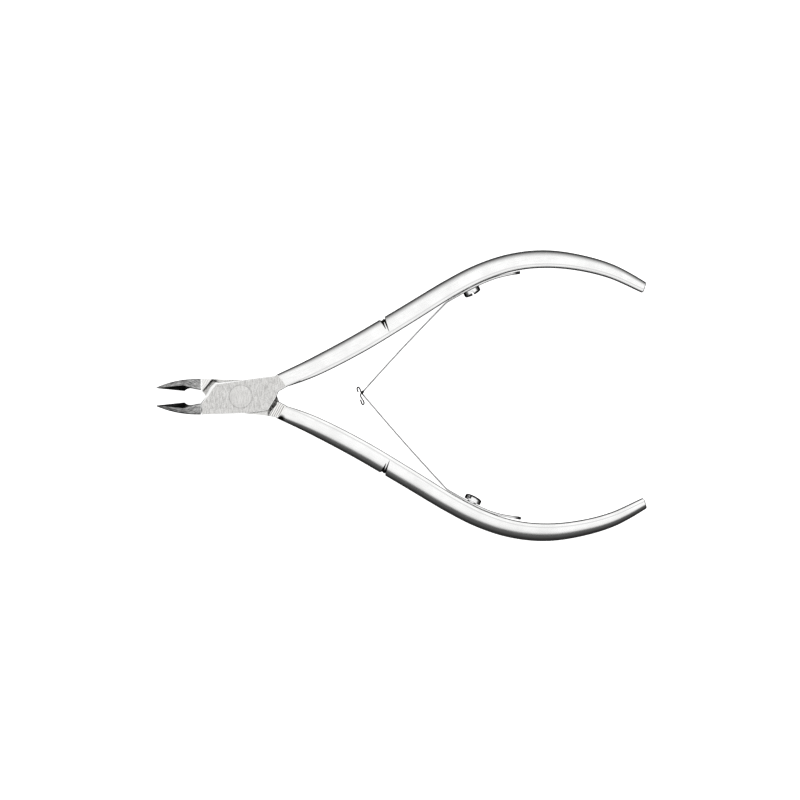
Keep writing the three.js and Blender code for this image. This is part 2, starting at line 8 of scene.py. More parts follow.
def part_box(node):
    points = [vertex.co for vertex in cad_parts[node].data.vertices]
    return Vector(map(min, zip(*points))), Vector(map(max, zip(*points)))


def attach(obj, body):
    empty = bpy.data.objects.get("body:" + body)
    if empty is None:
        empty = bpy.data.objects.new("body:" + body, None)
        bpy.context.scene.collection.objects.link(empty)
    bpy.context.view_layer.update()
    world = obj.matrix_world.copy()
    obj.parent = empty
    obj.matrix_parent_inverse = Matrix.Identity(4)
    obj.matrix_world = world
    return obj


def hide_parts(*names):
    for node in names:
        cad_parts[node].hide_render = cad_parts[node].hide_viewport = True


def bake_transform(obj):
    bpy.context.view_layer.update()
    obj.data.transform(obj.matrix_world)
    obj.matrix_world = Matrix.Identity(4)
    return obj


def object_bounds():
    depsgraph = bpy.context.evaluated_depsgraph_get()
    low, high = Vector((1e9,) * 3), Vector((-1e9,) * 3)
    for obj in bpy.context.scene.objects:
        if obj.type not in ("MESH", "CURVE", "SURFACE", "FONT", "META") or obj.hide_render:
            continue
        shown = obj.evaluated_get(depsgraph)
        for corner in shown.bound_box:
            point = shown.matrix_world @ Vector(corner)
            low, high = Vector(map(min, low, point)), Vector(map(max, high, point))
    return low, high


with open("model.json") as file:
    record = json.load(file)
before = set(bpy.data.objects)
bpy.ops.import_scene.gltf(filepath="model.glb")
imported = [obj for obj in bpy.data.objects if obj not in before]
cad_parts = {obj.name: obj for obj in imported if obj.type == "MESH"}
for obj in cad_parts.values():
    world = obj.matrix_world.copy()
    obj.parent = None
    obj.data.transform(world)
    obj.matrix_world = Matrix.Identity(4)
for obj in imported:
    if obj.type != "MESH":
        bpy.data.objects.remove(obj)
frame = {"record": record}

# Cuticle nipper, lying flat with its pivot on the Z axis, jaws toward -X and the
# handles toward +X. Shapes are worked out in millimetres, then scaled to metres.
MM = 0.001

cad_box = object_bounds()


# ------------------------------------------------------------------ the frame
def node_box(name):
    low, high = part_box(name)
    return Vector(low) / MM, Vector(high) / MM


def joint_point(name):
    for joint in frame["record"]["behaviour"]["joints"]:
        if joint["name"] == name:
            return Vector(joint["pos_m"]) / MM
    raise KeyError(name)


THICK = node_box("upper_handle_half")[1].z
MID = THICK / 2
TIP_X = node_box("upper_handle_half")[0].x
UPPER_FLEX = joint_point("upper_spring_flex")
RIVET_HEAD_R = node_box("pivot_rivet")[1].x

# ------------------------------------------------------------------ dimensions
# Lap joint: gap between the plates, broken edges, the wide bevels round the top face and
# the rivet with its bevel ring.
LAP_GAP = 0.08
EDGE_BREAK = 0.13
PLATE_BEVEL = 0.3
PLATE_CORNER_BEVEL = 0.6
PLATE_BEVEL_SLOPE = 0.5
JAW_BEVEL = 0.42
JAW_BEVEL_INNER = 0.14
RIVET_SHANK_R = 1.6
RIVET_CLEARANCE = 0.02
RIVET_HEAD_DEEP = 0.4
RIVET_CONE_END = 0.64
RIVET_SEAT_CONE_END = 0.7
RIVET_BEVEL = 0.12
RIVET_BEVEL_DROP = 0.04
RIVET_SIDES = 96

# Blade, from its tip to the block that it grows out of at ROOT_X. HALF_OPEN is the angle
# of each cutting edge to the middle, and HUMP_X is where the edge ends. What thickens and
# widens it are powers: the higher they are, the nearer to the tip it reaches its full size.
ROOT_X = -8.6
HUMP_X = -12.2
HALF_OPEN = math.radians(5.74)
TIP_HALF_THICK = 0.45
BLADE_ROOT_HALF = 2.68
BLADE_THICKENS = 1.25
TIP_BACK = 2.06
ROOT_BACK = 3.84
BLADE_WIDENS = 2.3
BACK_THINNER = 0.2
BACK_CORNER = 0.35
FACE_CROWN = 1.35
ROOT_CHAMFER = 0.35
# How far past ROOT_X the last two rings of the blade run, into the block, and how much
# narrower they are, so that no wall lies in a wall of the block.
BLADE_OVERLAPS = (0.02, 0.3)
BLADE_OVERLAP_SCALE = 0.998
# Ridge between the sharpened facet and the outer face, seen from above.
RIDGE_PEAK_X = -12.4
RIDGE_PEAK = 2.5
RIDGE_END_X = -10.8
RELIEF_FACET = 0.2
# Rings from the tip to the ridge's peak, on to its end and on to the root.
BLADE_STEPS = (36, 14, 16)

# Handle stations: x, y, width in plan, height, squareness of the dome.
HANDLE_STATIONS = [
    (8.45, 3.3, 3.1, 5.9, 5.0),
    (15.6, 6.3, 4.0, 5.5, 3.0),
    (25.4, 11.4, 4.25, 5.4, 2.5),
    (35.4, 17.35, 4.15, 5.5, 2.4),
    (45.0, 23.2, 3.95, 5.7, 2.4),
    (51.8, 26.62, 3.9, 5.8, 2.4),
    (58.6, 28.75, 3.8, 5.95, 2.4),
    (65.6, 29.4, 3.75, 6.0, 2.4),
    (72.8, 28.6, 3.4, 5.6, 2.4),
    (79.9, 26.62, 3.0, 5.0, 2.4),
    (86.8, 23.15, 2.3, 4.4, 2.4),
]
HANDLE_RINGS = 260
DOME_STEPS = 44
INNER_BEVEL = 0.6
INNER_BEVEL_DROP = 0.2
LEAST_BEVEL = 0.1
CORNER_ROUND = 0.2
END_ROUND = 0.4
END_SHRINK = 0.9
END_STEPS = 5
ROOT_LEAN = 0.22
END_LEAN = 0.14
FILE_CUT_X = 31.5
# Where each cut sits at the side and at its tip, how many degrees round the dome it
# runs, its width and its depth.
FILE_CUTS = [
    (-0.38, -0.62, 75, 1.0, 0.42),
    (0.3, -0.3, 87, 0.75, 0.46),
    (-0.15, -0.2, 48, 1.5, 0.34),
]
FILE_CUT_OVER = 0.12
FILE_CUT_FLOOR = 0.1
FILE_CUT_WALL = 0.85
FILE_CUT_RUNS_OUT = 0.12
FILE_CUT_STEPS = 48

# Top lap plate with the whole ground face, and the two blocks that stand under it.
PLATE_OUTLINE = [
    (-8.6, -3.84), (-8.6, -1.5), (-7.5, -0.05), (-7.38, 0.5), (-6.98, 1.2),
    (-6.6, 1.85), (-5.45, 3.05), (-4.6, 2.98), (-1.83, 3.3), (2.34, 3.78),
    (6.67, 4.33), (7.95, 4.62), (9.04, 3.45), (9.9, 2.12), (8.4, 1.32), (8.08, 1.17),
    (7.55, -0.2), (5.85, -2.98), (1.94, -3.53),
]
JAW_BLOCK = [(-8.59, -3.83), (-8.59, -1.45), (-8.15, -1.08), (-5.65, -3.75)]
SHOULDER_R = 7.88
SHOULDER_FROM = 13.5
SHOULDER_TO = 8.2
HANDLE_BLOCK_START = [(5.95, 4.16), (6.4, 3.2)]
HANDLE_BLOCK_END = [(8.4, 1.33), (9.88, 2.13), (9.03, 3.44), (7.94, 4.61)]

# Leaf springs: each runs from its foot on the handle, over the bend, to the hooked tip.
LEAF_THICK = 0.32
HOOK_THICK = 0.29
FOOT_THICK = 0.42
FOOT_END_SWELL = 0.14
LEAF_EDGE = 0.1
# Facets of a leaf section that make its four rounded edges.
LEAF_ROUNDED = (0, 1, 3, 4, 6, 7, 9, 10)
# What the last two rings at each end lose of the half width and the half thickness.
LEAF_END_ROUND = [(0.08, 0.06), (0.03, 0.02)]
# Thickened spot of the upper leaf just before the crossing.
KNUCKLE_THICK = 0.58
KNUCKLE_RUN = 0.985
KNUCKLE_REACH = 0.022
# Widths across the leaf, along Z: the upper tip is a tongue through a slot in the lower.
FOOT_WIDTH = 3.6
ARM_ROOT_WIDTH = 3.4
ARM_TIP_WIDTH = 2.2
TONGUE_WIDTH = 1.1
SLOTTED_TIP_WIDTH = 2.7
SLOT_WIDTH = 1.5
SLOT_LENGTH = 1.4
FOOT_GAP = 0.04
FOOT_STEPS = 120
ARM_STEPS = 180
HOOK_STEPS = 72
# Passes that smooth the bend at the flex point, and the steps they reach to each side.
BEND_SMOOTHINGS = 12
BEND_REACH = 7
# Where the leaves cross, and how far each arm bows toward the handles on the way there.
CROSSING = Vector((25.9, 0.67, 0))
ARM_BOW = 0.18
FOOT_START_X = 46.8
FOOT_END_X = 59.6
UPPER_FOOT_LIFT = 0.32
LOWER_FOOT_LIFT = 0.48
SCREW_X = 48.35
UPPER_HOOK = [
    (25.68, 0.38), (25.66, 0.06), (25.82, -0.28), (26.06, -0.66), (26.28, -1.04),
    (26.4, -1.4), (26.34, -1.72), (26.1, -1.8), (25.92, -1.58), (25.8, -1.2),
    (25.62, -0.7),
]
LOWER_HOOK = [
    (25.72, 1.0), (25.6, 1.38), (25.44, 1.7), (25.24, 1.93), (25.0, 1.86),
    (24.94, 1.56), (25.03, 1.2), (25.15, 0.85),
]

# Spring screws.
SCREW_SHANK_R = 0.95
SCREW_HOLE_R = 1.0
LEAF_HOLE_R = 1.1
SCREW_DEPTH = 2.2
SCREW_HOLE_CONE = 0.4
SCREW_HEAD_R = 1.85
SCREW_HEAD_HIGH = 1.3
SCREW_RIM_HIGH = SCREW_HEAD_HIGH * 0.66
SCREW_CORNER = 0.08
SCREW_RIM_CORNER = (0.05, 0.03)
SCREW_DOME_STEPS = 9
SCREW_SIDES = 72
SCREW_SLOT_WIDE = 0.42
SCREW_SLOT_DEEP = 0.9
# How far each head stands off its leaf, and how far its slot is turned from upright.
UPPER_HEAD_GAP = 0.03
LOWER_HEAD_GAP = 0.2
UPPER_SLOT_TURN = 0.0
LOWER_SLOT_TURN = math.radians(24)


# ------------------------------------------------------------------ small maths
def lerp(a, b, t):
    return a + (b - a) * t


def left_of(ahead):
    return Vector((-ahead.y, ahead.x))


def raised(plan, z):
    """A plan point at a height above the middle plane."""
    return Vector((plan.x, plan.y, MID + z))


def smoothstep(x, low, high):
    t = min(1.0, max(0.0, (x - low) / (high - low)))
    return t * t * (3 - 2 * t)


def spline_piece(p0, p1, p2, p3, t):
    v0 = (p2 - p0) * 0.5
    v1 = (p3 - p1) * 0.5
    cubic = 2 * p1 - 2 * p2 + v0 + v1
    square = 3 * p2 - 3 * p1 - 2 * v0 - v1
    return cubic * t**3 + square * t**2 + v0 * t + p1


def spline_at(points, t, mirrored_ends=False):
    """Uniform Catmull-Rom through points, with t from 0 to 1 over the whole run."""
    last = len(points) - 1
    place = min(max(t, 0.0), 1.0) * last
    i = min(int(place), last - 1)
    p1 = points[i]
    p2 = points[i + 1]
    p0 = points[i - 1] if i > 0 else (2 * p1 - p2 if mirrored_ends else p1)
    p3 = points[i + 2] if i + 2 <= last else (2 * p2 - p1 if mirrored_ends else p2)
    return spline_piece(p0, p1, p2, p3, place - i)


def spline_tangent(points, t):
    step = 0.0005
    ahead = spline_at(points, min(1.0, t + step))
    behind = spline_at(points, max(0.0, t - step))
    return (ahead - behind).normalized()


def spline_parameter(points, x):
    """Where a spline that always runs toward +X reaches x."""
    low = 0.0
    high = 1.0
    for _ in range(40):
        middle = (low + high) / 2
        if spline_at(points, middle).x < x:
            low = middle
        else:
            high = middle
    return (low + high) / 2


def heading_at(line, i):
    """Direction of an open line of plan points at one of them."""
    before = Vector(line[max(0, i - 1)])
    after = Vector(line[min(len(line) - 1, i + 1)])
    return (after - before).normalized()


def rounded_corner(before, corner, after, radius, most=0.5, steps=4):
    """Curve in place of a corner, no longer each way than a share of the side there."""
    back = before - corner
    ahead = after - corner
    start = corner + back.normalized() * min(radius, back.length * most)
    end = corner + ahead.normalized() * min(radius, ahead.length * most)
    points = []
    for k in range(steps + 1):
        t = k / steps
        points.append(start * (1 - t) ** 2 + corner * 2 * t * (1 - t) + end * t**2)
    return points


def superellipse(angle, square):
    """Point on the unit dome: how far across and how far up."""
    across = abs(math.cos(angle)) ** (2 / square)
    up = math.copysign(abs(math.sin(angle)) ** (2 / square), math.sin(angle))
    return across, up


# ------------------------------------------------------------------ mesh tools
# Material slots of a forged half; every piece is made with the same number.
SLOTS = 8
SLOT_POLISHED, SLOT_GROUND, SLOT_SHOULDER, SLOT_BLADE = range(4)
SLOT_EDGE, SLOT_LAP, SLOT_CUT, SLOT_FACET = range(4, SLOTS)
# The leaves and the rivet have two materials: slot 0, and this one along their edges.
SLOT_RIM = 1


def make_object(name, points, faces, slot=0, uvs=None):
    mesh = bpy.data.meshes.new(name)
    mesh.from_pydata([tuple(p) for p in points], [], faces)
    layer = mesh.uv_layers.new(name="grain")
    if uvs:
        for loop, uv in zip(layer.data, uvs):
            loop.uv = uv
    for _ in range(SLOTS):
        mesh.materials.append(None)
    for polygon in mesh.polygons:
        polygon.material_index = slot
    mesh.validate()
    mesh.update()
    piece = bpy.data.objects.new(name, mesh)
    bpy.context.scene.collection.objects.link(piece)
    return piece


def signed_volume(points, faces):
    total = 0.0
    for face in faces:
        for i in range(1, len(face) - 1):
            a, b, c = points[face[0]], points[face[i]], points[face[i + 1]]
            total += a.dot(b.cross(c))
    return total


def run_around(ring):
    run = [0.0]
    for i, point in enumerate(ring):
        run.append(run[-1] + (ring[(i + 1) % len(ring)] - point).length)
    return run


def loft(name, rings, slot=0, around=None):
    """A closed skin over rings of equal point count, with grain UVs in millimetres."""
    count = len(rings[0])
    points = [p for ring in rings for p in ring]
    along = [0.0]
    for before, after in zip(rings, rings[1:]):
        middle_before = sum(before, Vector()) / count
        middle_after = sum(after, Vector()) / count
        along.append(along[-1] + (middle_after - middle_before).length)
    around = around or run_around(rings[len(rings) // 2])
    faces = []
    uvs = []
    for k in range(len(rings) - 1):
        for i in range(count):
            a = k * count + i
            b = k * count + (i + 1) % count
            faces.append([a, b, b + count, a + count])
            uvs.append([
                (along[k], around[i]), (along[k], around[i + 1]),
                (along[k + 1], around[i + 1]), (along[k + 1], around[i]),
            ])
    first = list(reversed(range(count)))
    last = [(len(rings) - 1) * count + i for i in range(count)]
    for cap in (first, last):
        faces.append(cap)
        uvs.append([(points[i].x, points[i].y) for i in cap])
    if signed_volume(points, faces) < 0:
        faces = [list(reversed(face)) for face in faces]
        uvs = [list(reversed(face)) for face in uvs]
    return make_object(name, points, faces, slot, [uv for face in uvs for uv in face])


def inset(outline, distance):
    """The outline drawn in by a distance, with mitred corners."""
    area = 0.0
    for (x0, y0), (x1, y1) in zip(outline, outline[1:] + outline[:1]):
        area += x0 * y1 - x1 * y0
    inward = 1 if area > 0 else -1
    moved = []
    for i, corner in enumerate(outline):
        here = Vector(corner)
        before = (here - Vector(outline[i - 1])).normalized()
        after = (Vector(outline[(i + 1) % len(outline)]) - here).normalized()
        normal_before = left_of(before) * inward
        normal_after = left_of(after) * inward
        mitre = (normal_before + normal_after).normalized()
        reach = distance / max(0.35, mitre.dot(normal_after))
        moved.append(tuple(here + mitre * reach))
    return moved


def round_corners(outline, radius):
    rounded = []
    for i, corner in enumerate(outline):
        before = Vector(outline[i - 1])
        after = Vector(outline[(i + 1) % len(outline)])
        rounded += rounded_corner(before, Vector(corner), after, radius, 0.4)
    return rounded


def slab(name, outline, levels, slot=0, radius=0.15):
    """A plate from a plan outline and a list of (height, inset); slanting bands are edges."""
    rings = []
    for height, drawn_in in levels:
        plan = round_corners(inset(outline, drawn_in), max(0.03, radius - drawn_in * 0.6))
        rings.append([Vector((x, y, height)) for x, y in plan])
    piece = loft(name, rings, slot)
    count = len(rings[0])
    for k, (low, high) in enumerate(zip(levels, levels[1:])):
        if low[1] != high[1]:
            for polygon in piece.data.polygons[k * count:(k + 1) * count]:
                polygon.material_index = SLOT_EDGE
    return piece


def edge_bevel(path, widths, level, up, slope, slot=SLOT_EDGE):
    """Cutter that takes a wide bevel off the edge over a plan path, outside on its left."""
    over = 0.3
    rise = over * slope
    rings = []
    for i, (corner, width) in enumerate(zip(path, widths)):
        here = Vector(corner)
        out = left_of(heading_at(path, i))
        section = ((-width - over, rise), (over, rise), (over, -(width + over) * slope))
        rings.append([Vector((*(here + out * n), level + up * z)) for n, z in section])
    return loft("edge_bevel", rings, slot)


def turned(name, profile, sides, slot=0):
    """A turned piece about +Z from (radius, height) pairs that start and end off axis."""
    angles = [2 * math.pi * i / sides for i in range(sides)]
    rings = []
    for radius, height in profile:
        rings.append([Vector((radius * math.cos(a), radius * math.sin(a), height)) for a in angles])
    return loft(name, rings, slot)


def place_along(piece, origin, direction):
    turn = Vector((0, 0, 1)).rotation_difference(direction.normalized())
    piece.data.transform(Matrix.Translation(origin) @ turn.to_matrix().to_4x4())
    piece.data.update()


def combine(base, tool, operation):
    """Boolean of two pieces, kept in base; the tool is used up."""
    modifier = base.modifiers.new("combine", "BOOLEAN")
    modifier.operation = operation
    modifier.solver = "EXACT"
    modifier.object = tool
    depsgraph = bpy.context.evaluated_depsgraph_get()
    result = bpy.data.meshes.new_from_object(base.evaluated_get(depsgraph))
    base.modifiers.clear()
    old = base.data
    base.data = result
    bpy.data.meshes.remove(old)
    used = tool.data
    bpy.data.objects.remove(tool)
    bpy.data.meshes.remove(used)
    return base


def finish_shading(piece, sharp_degrees):
    for polygon in piece.data.polygons:
        polygon.use_smooth = True
    piece.data.set_sharp_from_angle(angle=math.radians(sharp_degrees))
    weighted = piece.modifiers.new("weighted normals", "WEIGHTED_NORMAL")
    weighted.keep_sharp = True


def mirrored_half(piece, name):
    """The same forging turned over about the X axis."""
    copy = bpy.data.objects.new(name, piece.data.copy())
    bpy.context.scene.collection.objects.link(copy)
    turn_over = Matrix.Rotation(math.pi, 4, "X")
    copy.data.transform(Matrix.Translation((0, 0, THICK)) @ turn_over)
    copy.data.update()
    return copy


# ------------------------------------------------------------------ blade
RELIEF = [
    Vector((HUMP_X, -HUMP_X * math.tan(HALF_OPEN))),
    Vector((-11.55, 1.66)),
    Vector((-10.8, 1.8)),
    Vector((-9.7, 1.6)),
    Vector((ROOT_X, 1.42)),
]


def blade_inner(x):
    if x <= HUMP_X:
        return -x * math.tan(HALF_OPEN)
    return spline_at(RELIEF, spline_parameter(RELIEF, x)).y


def blade_ridge(x):
    tip = blade_inner(TIP_X) + 0.05
    end = blade_inner(RIDGE_END_X) + RELIEF_FACET
    if x <= RIDGE_PEAK_X:
        return lerp(tip, RIDGE_PEAK, (x - TIP_X) / (RIDGE_PEAK_X - TIP_X))
    if x <= RIDGE_END_X:
        return lerp(RIDGE_PEAK, end, (x - RIDGE_PEAK_X) / (RIDGE_END_X - RIDGE_PEAK_X))
    return blade_inner(x) + RELIEF_FACET


def blade_ring(x):
    u = (x - TIP_X) / (ROOT_X - TIP_X)
    half = lerp(TIP_HALF_THICK, BLADE_ROOT_HALF, 1 - (1 - u) ** BLADE_THICKENS)
    inner = blade_inner(x)
    ridge = blade_ridge(x)
    back = lerp(TIP_BACK, ROOT_BACK, 1 - (1 - u) ** BLADE_WIDENS)
    back_half = half * (1 - BACK_THINNER * math.sqrt(1 - u))
    corner = min(BACK_CORNER, (back - ridge) * 0.4, back_half * 0.5)
    upper = [(ridge, half)]
    for k in range(1, 5):
        t = k / 5
        y = lerp(ridge, back - corner, t)
        z = lerp(half, back_half, t**FACE_CROWN)
        upper.append((y, z))
    for k in range(5):
        angle = math.radians(90 * k / 4)
        y = back - corner + corner * math.sin(angle)
        z = back_half - corner + corner * math.cos(angle)
        upper.append((y, z))
    lower = [(y, -z) for y, z in reversed(upper)]
    return [Vector((x, -y, MID + z)) for y, z in [(inner, 0), *upper, *lower]]


def blade():
    to_peak, to_end, to_root = BLADE_STEPS
    stations = [lerp(TIP_X, RIDGE_PEAK_X, i / to_peak) for i in range(to_peak + 1)]
    stations += [lerp(HUMP_X, RIDGE_END_X, i / to_end) for i in range(to_end + 1)]
    stations += [lerp(RIDGE_END_X, ROOT_X, i / to_root) for i in range(1, to_root)]
    rings = [blade_ring(x) for x in stations]
    for overlap in BLADE_OVERLAPS:
        x = ROOT_X + overlap
        last = blade_ring(ROOT_X)
        rings.append([Vector((x, p.y * BLADE_OVERLAP_SCALE, p.z)) for p in last])
    piece = loft("blade", rings, SLOT_BLADE)
    count = len(rings[0])
    for polygon in piece.data.polygons[:(len(rings) - 1) * count]:
        if polygon.index % count in (0, count - 1):
            polygon.material_index = SLOT_FACET
    return piece


def root_chamfer(level, up):
    """Wedge that takes the sharp corner off the block where the blade begins."""
    outer = 1.0
    profile = [
        (ROOT_X - outer, level - up * (ROOT_CHAMFER + outer)),
        (ROOT_X + ROOT_CHAMFER + outer, level + up * outer),
        (ROOT_X - outer, level + up * outer),
    ]
    rings = []
    for y in (-ROOT_BACK - outer, 0.0):
        rings.append([Vector((x, y, z)) for x, z in profile])
    return loft("root_chamfer", rings, SLOT_EDGE)


# ------------------------------------------------------------------ handle
HANDLE_LINE = [Vector((s[0], s[1])) for s in HANDLE_STATIONS]
HANDLE_SIZE = [Vector(s[2:]) for s in HANDLE_STATIONS]


def handle_at(t):
    centre = spline_at(HANDLE_LINE, t)
    ahead = spline_tangent(HANDLE_LINE, t)
    size = spline_at(HANDLE_SIZE, t, mirrored_ends=True)
    return centre, ahead, left_of(ahead), size.x, min(size.y, THICK), size.z


def handle_parameter(x):
    return spline_parameter(HANDLE_LINE, x)


def even_dome(half, reach, square):
    """Points over the domed outer side, evenly spaced along its curve."""
    fine = []
    for i in range(401):
        across, up = superellipse(math.pi / 2 - math.pi * i / 400, square)
        fine.append(Vector((reach * across, half * up)))
    run = [0.0]
    for a, b in zip(fine, fine[1:]):
        run.append(run[-1] + (b - a).length)
    picked = []
    k = 0
    for i in range(DOME_STEPS + 1):
        goal = run[-1] * i / DOME_STEPS
        while k < len(run) - 2 and run[k + 1] < goal:
            k += 1
        share = (goal - run[k]) / max(1e-9, run[k + 1] - run[k])
        picked.append(fine[k].lerp(fine[k + 1], min(1.0, share)))
    return picked


def handle_section(width, height, square, bevel):
    inner = -width / 2
    half = height / 2
    drop = min(INNER_BEVEL_DROP, bevel * 0.6)
    dome = [p + Vector((inner + bevel, 0)) for p in even_dome(half, width - bevel, square)]
    low_chamfer = Vector((inner, -half + drop))
    high_chamfer = Vector((inner, half - drop))
    points = dome[:]
    points += rounded_corner(dome[-1], low_chamfer, high_chamfer, CORNER_ROUND)
    points += rounded_corner(low_chamfer, high_chamfer, dome[0], CORNER_ROUND)
    return points


def handle_ring(t, shrink):
    centre, ahead, outward, width, height, square = handle_at(t)
    bevel = max(LEAST_BEVEL, INNER_BEVEL * smoothstep(t, -0.02, 0.12) - shrink)
    section = handle_section(width - 2 * shrink, height - 2 * shrink, square, bevel)
    lean = ROOT_LEAN * (1 - smoothstep(t, 0, 0.06)) + END_LEAN * smoothstep(t, 0.95, 1)
    return [raised(centre + outward * n - ahead * n * lean, z) for n, z in section]


def handle():
    rings = []
    length = sum((b - a).length for a, b in zip(HANDLE_LINE, HANDLE_LINE[1:]))
    last = 1 - END_ROUND / length
    for i in range(HANDLE_RINGS + 1):
        rings.append(handle_ring(last * i / HANDLE_RINGS, 0))
    for i in range(1, END_STEPS + 1):
        angle = math.pi / 2 * i / END_STEPS
        t = last + (1 - last) * math.sin(angle)
        rings.append(handle_ring(t, END_ROUND * (1 - math.cos(angle)) * END_SHRINK))
    run = run_around(rings[HANDLE_RINGS // 2])
    dome = run[DOME_STEPS]
    # Measured from the nearer crease: positive over the dome, negative down the wall.
    folded = [min(v, dome - v) if v <= dome else -min(v - dome, run[-1] - v) for v in run]
    return loft("handle", rings, SLOT_POLISHED, folded)


def file_cut(side, tip, reach, wide, deep):
    """V-shaped cut across the outer side that runs out over the dome."""
    centre, ahead, outward, width, height, square = handle_at(handle_parameter(FILE_CUT_X))
    across_reach = width - INNER_BEVEL
    half = height / 2
    last = math.cos(math.radians(reach)) ** (2 / square)
    rings = []
    for i in range(FILE_CUT_STEPS + 1):
        angle = math.radians(reach) * lerp(-1, 1, i / FILE_CUT_STEPS)
        across, up = superellipse(angle, square)
        run = (1 - across) / (1 - last)
        size = lerp(1, FILE_CUT_RUNS_OUT, run)
        n = -width / 2 + INNER_BEVEL + across_reach * across
        lift = Vector((
            across ** (square - 1) / across_reach,
            math.copysign(abs(up) ** (square - 1) / half, up),
        )).normalized()
        top = FILE_CUT_OVER * size
        floor = FILE_CUT_FLOOR * wide * size
        wall = -deep * FILE_CUT_WALL * size
        edge = wide / 2 * size
        ring = []
        for s, d in ((-edge, top), (-floor, wall), (0, -deep * size), (floor, wall), (edge, top)):
            plan = centre + outward * (n + lift.x * d) + ahead * (lerp(side, tip, run) + s)
            ring.append(raised(plan, half * up + lift.y * d))
        rings.append(ring)
    return loft("file_cut", rings, SLOT_CUT)


# ------------------------------------------------------------------ forged half
def screw_seat(side=1):
    """Where the spring screw enters the handle on one side, and its way in."""
    centre, _, outward, width, _, _ = handle_at(handle_parameter(SCREW_X))
    face = centre - outward * (width / 2)
    return Vector((face.x, face.y * side, MID)), Vector((outward.x, outward.y * side, 0))


def shoulder_arc():
    """Hollow of the handle block about the pivot, which the other half turns in."""
    points = []
    for i in range(3):
        angle = math.radians(lerp(SHOULDER_FROM, SHOULDER_TO, i / 2))
        points.append((SHOULDER_R * math.cos(angle), SHOULDER_R * math.sin(angle)))
    return points


def top_plate():
    """Plate that lies on top in the lap joint, with the whole ground face and its bevels."""
    softly = EDGE_BREAK * 0.3
    levels = [
        (MID + LAP_GAP / 2, 0), (THICK - EDGE_BREAK, 0), (THICK - softly, softly),
        (THICK, EDGE_BREAK),
    ]
    plate = slab("upper_half", PLATE_OUTLINE, levels, SLOT_GROUND)
    for polygon in plate.data.polygons:
        if polygon.normal.z < -0.5:
            polygon.material_index = SLOT_LAP
    narrow = PLATE_BEVEL
    wide = PLATE_CORNER_BEVEL
    # One width for each corner of the free edge, from the jaw to where it runs out.
    widths = [narrow, narrow, wide, wide, wide, wide * 0.8, narrow, narrow * 0.8, 0.1]
    bevel = edge_bevel(PLATE_OUTLINE[1:10], widths, THICK, 1, PLATE_BEVEL_SLOPE)
    return combine(plate, bevel, "DIFFERENCE")


def lower_blocks():
    """Blocks that stand under the plate at its ends and carry the jaw and the handle."""
    softly = EDGE_BREAK * 0.3
    levels = [
        (0, EDGE_BREAK), (softly, softly), (EDGE_BREAK, 0), (MID + LAP_GAP, 0), (MID + 0.6, 0.05),
    ]
    jaw = slab("jaw_block", JAW_BLOCK, levels, SLOT_SHOULDER)
    # The bevel runs past both ends of the shoulder.
    edge = [(-8.9, -1.08), *JAW_BLOCK[2:], (-5.5, -3.9)]
    widths = [JAW_BEVEL_INNER, JAW_BEVEL_INNER, JAW_BEVEL, JAW_BEVEL]
    # The bevel takes the near-black cut material, as painted shade along the jaw block.
    jaw = combine(jaw, edge_bevel(edge, widths, 0, -1, 1, SLOT_CUT), "DIFFERENCE")
    outline = HANDLE_BLOCK_START + shoulder_arc() + HANDLE_BLOCK_END
    return jaw, slab("handle_block", outline, levels, SLOT_SHOULDER)


def forging():
    body = top_plate()
    for block in lower_blocks():
        body = combine(body, block, "UNION")
    body = combine(body, root_chamfer(THICK, 1), "DIFFERENCE")
    body = combine(body, root_chamfer(0, -1), "DIFFERENCE")
    body = combine(body, blade(), "UNION")
    body = combine(body, handle(), "UNION")
    head = RIVET_HEAD_R + RIVET_CLEARANCE
    shank = RIVET_SHANK_R + RIVET_CLEARANCE
    profile = [
        (shank, -1), (shank, THICK - RIVET_SEAT_CONE_END), (head, THICK - RIVET_HEAD_DEEP),
        (head, THICK + 1),
    ]
    seat = turned("rivet_seat", profile, RIVET_SIDES, SLOT_GROUND)
    body = combine(body, seat, "DIFFERENCE")
    for cut in FILE_CUTS:
        body = combine(body, file_cut(*cut), "DIFFERENCE")
    profile = [
        (SCREW_HOLE_R, -1), (SCREW_HOLE_R, SCREW_DEPTH), (0.05, SCREW_DEPTH + SCREW_HOLE_CONE),
    ]
    hole = turned("screw_hole", profile, 32)
    place_along(hole, *screw_seat())
    return combine(body, hole, "DIFFERENCE")


# ------------------------------------------------------------------ springs
def foot_points(lift):
    """Leaf centre line on the +Y handle, from the flex point to the free end."""
    points = [Vector((UPPER_FLEX.x, abs(UPPER_FLEX.y)))]
    start = handle_parameter(FOOT_START_X)
    stop = handle_parameter(FOOT_END_X)
    for i in range(10):
        centre, _, outward, width, _, _ = handle_at(lerp(start, stop, i / 9))
        stand = FOOT_GAP + lift * smoothstep(i / 9, 0.45, 1)
        points.append(centre - outward * (width / 2 + stand + FOOT_THICK / 2))
    return points


def arm_points(side):
    """Bowed centre line from the flex point to the crossing."""
    flex = Vector((UPPER_FLEX.x, side * abs(UPPER_FLEX.y)))
    crossing = CROSSING.to_2d()
    run = crossing - flex
    across = left_of(run).normalized()
    points = []
    for i in range(8):
        s = i / 8
        bow = -side * ARM_BOW * math.sin(math.pi * s)
        points.append(flex + run * s + across * bow)
    points.append(crossing)
    return points


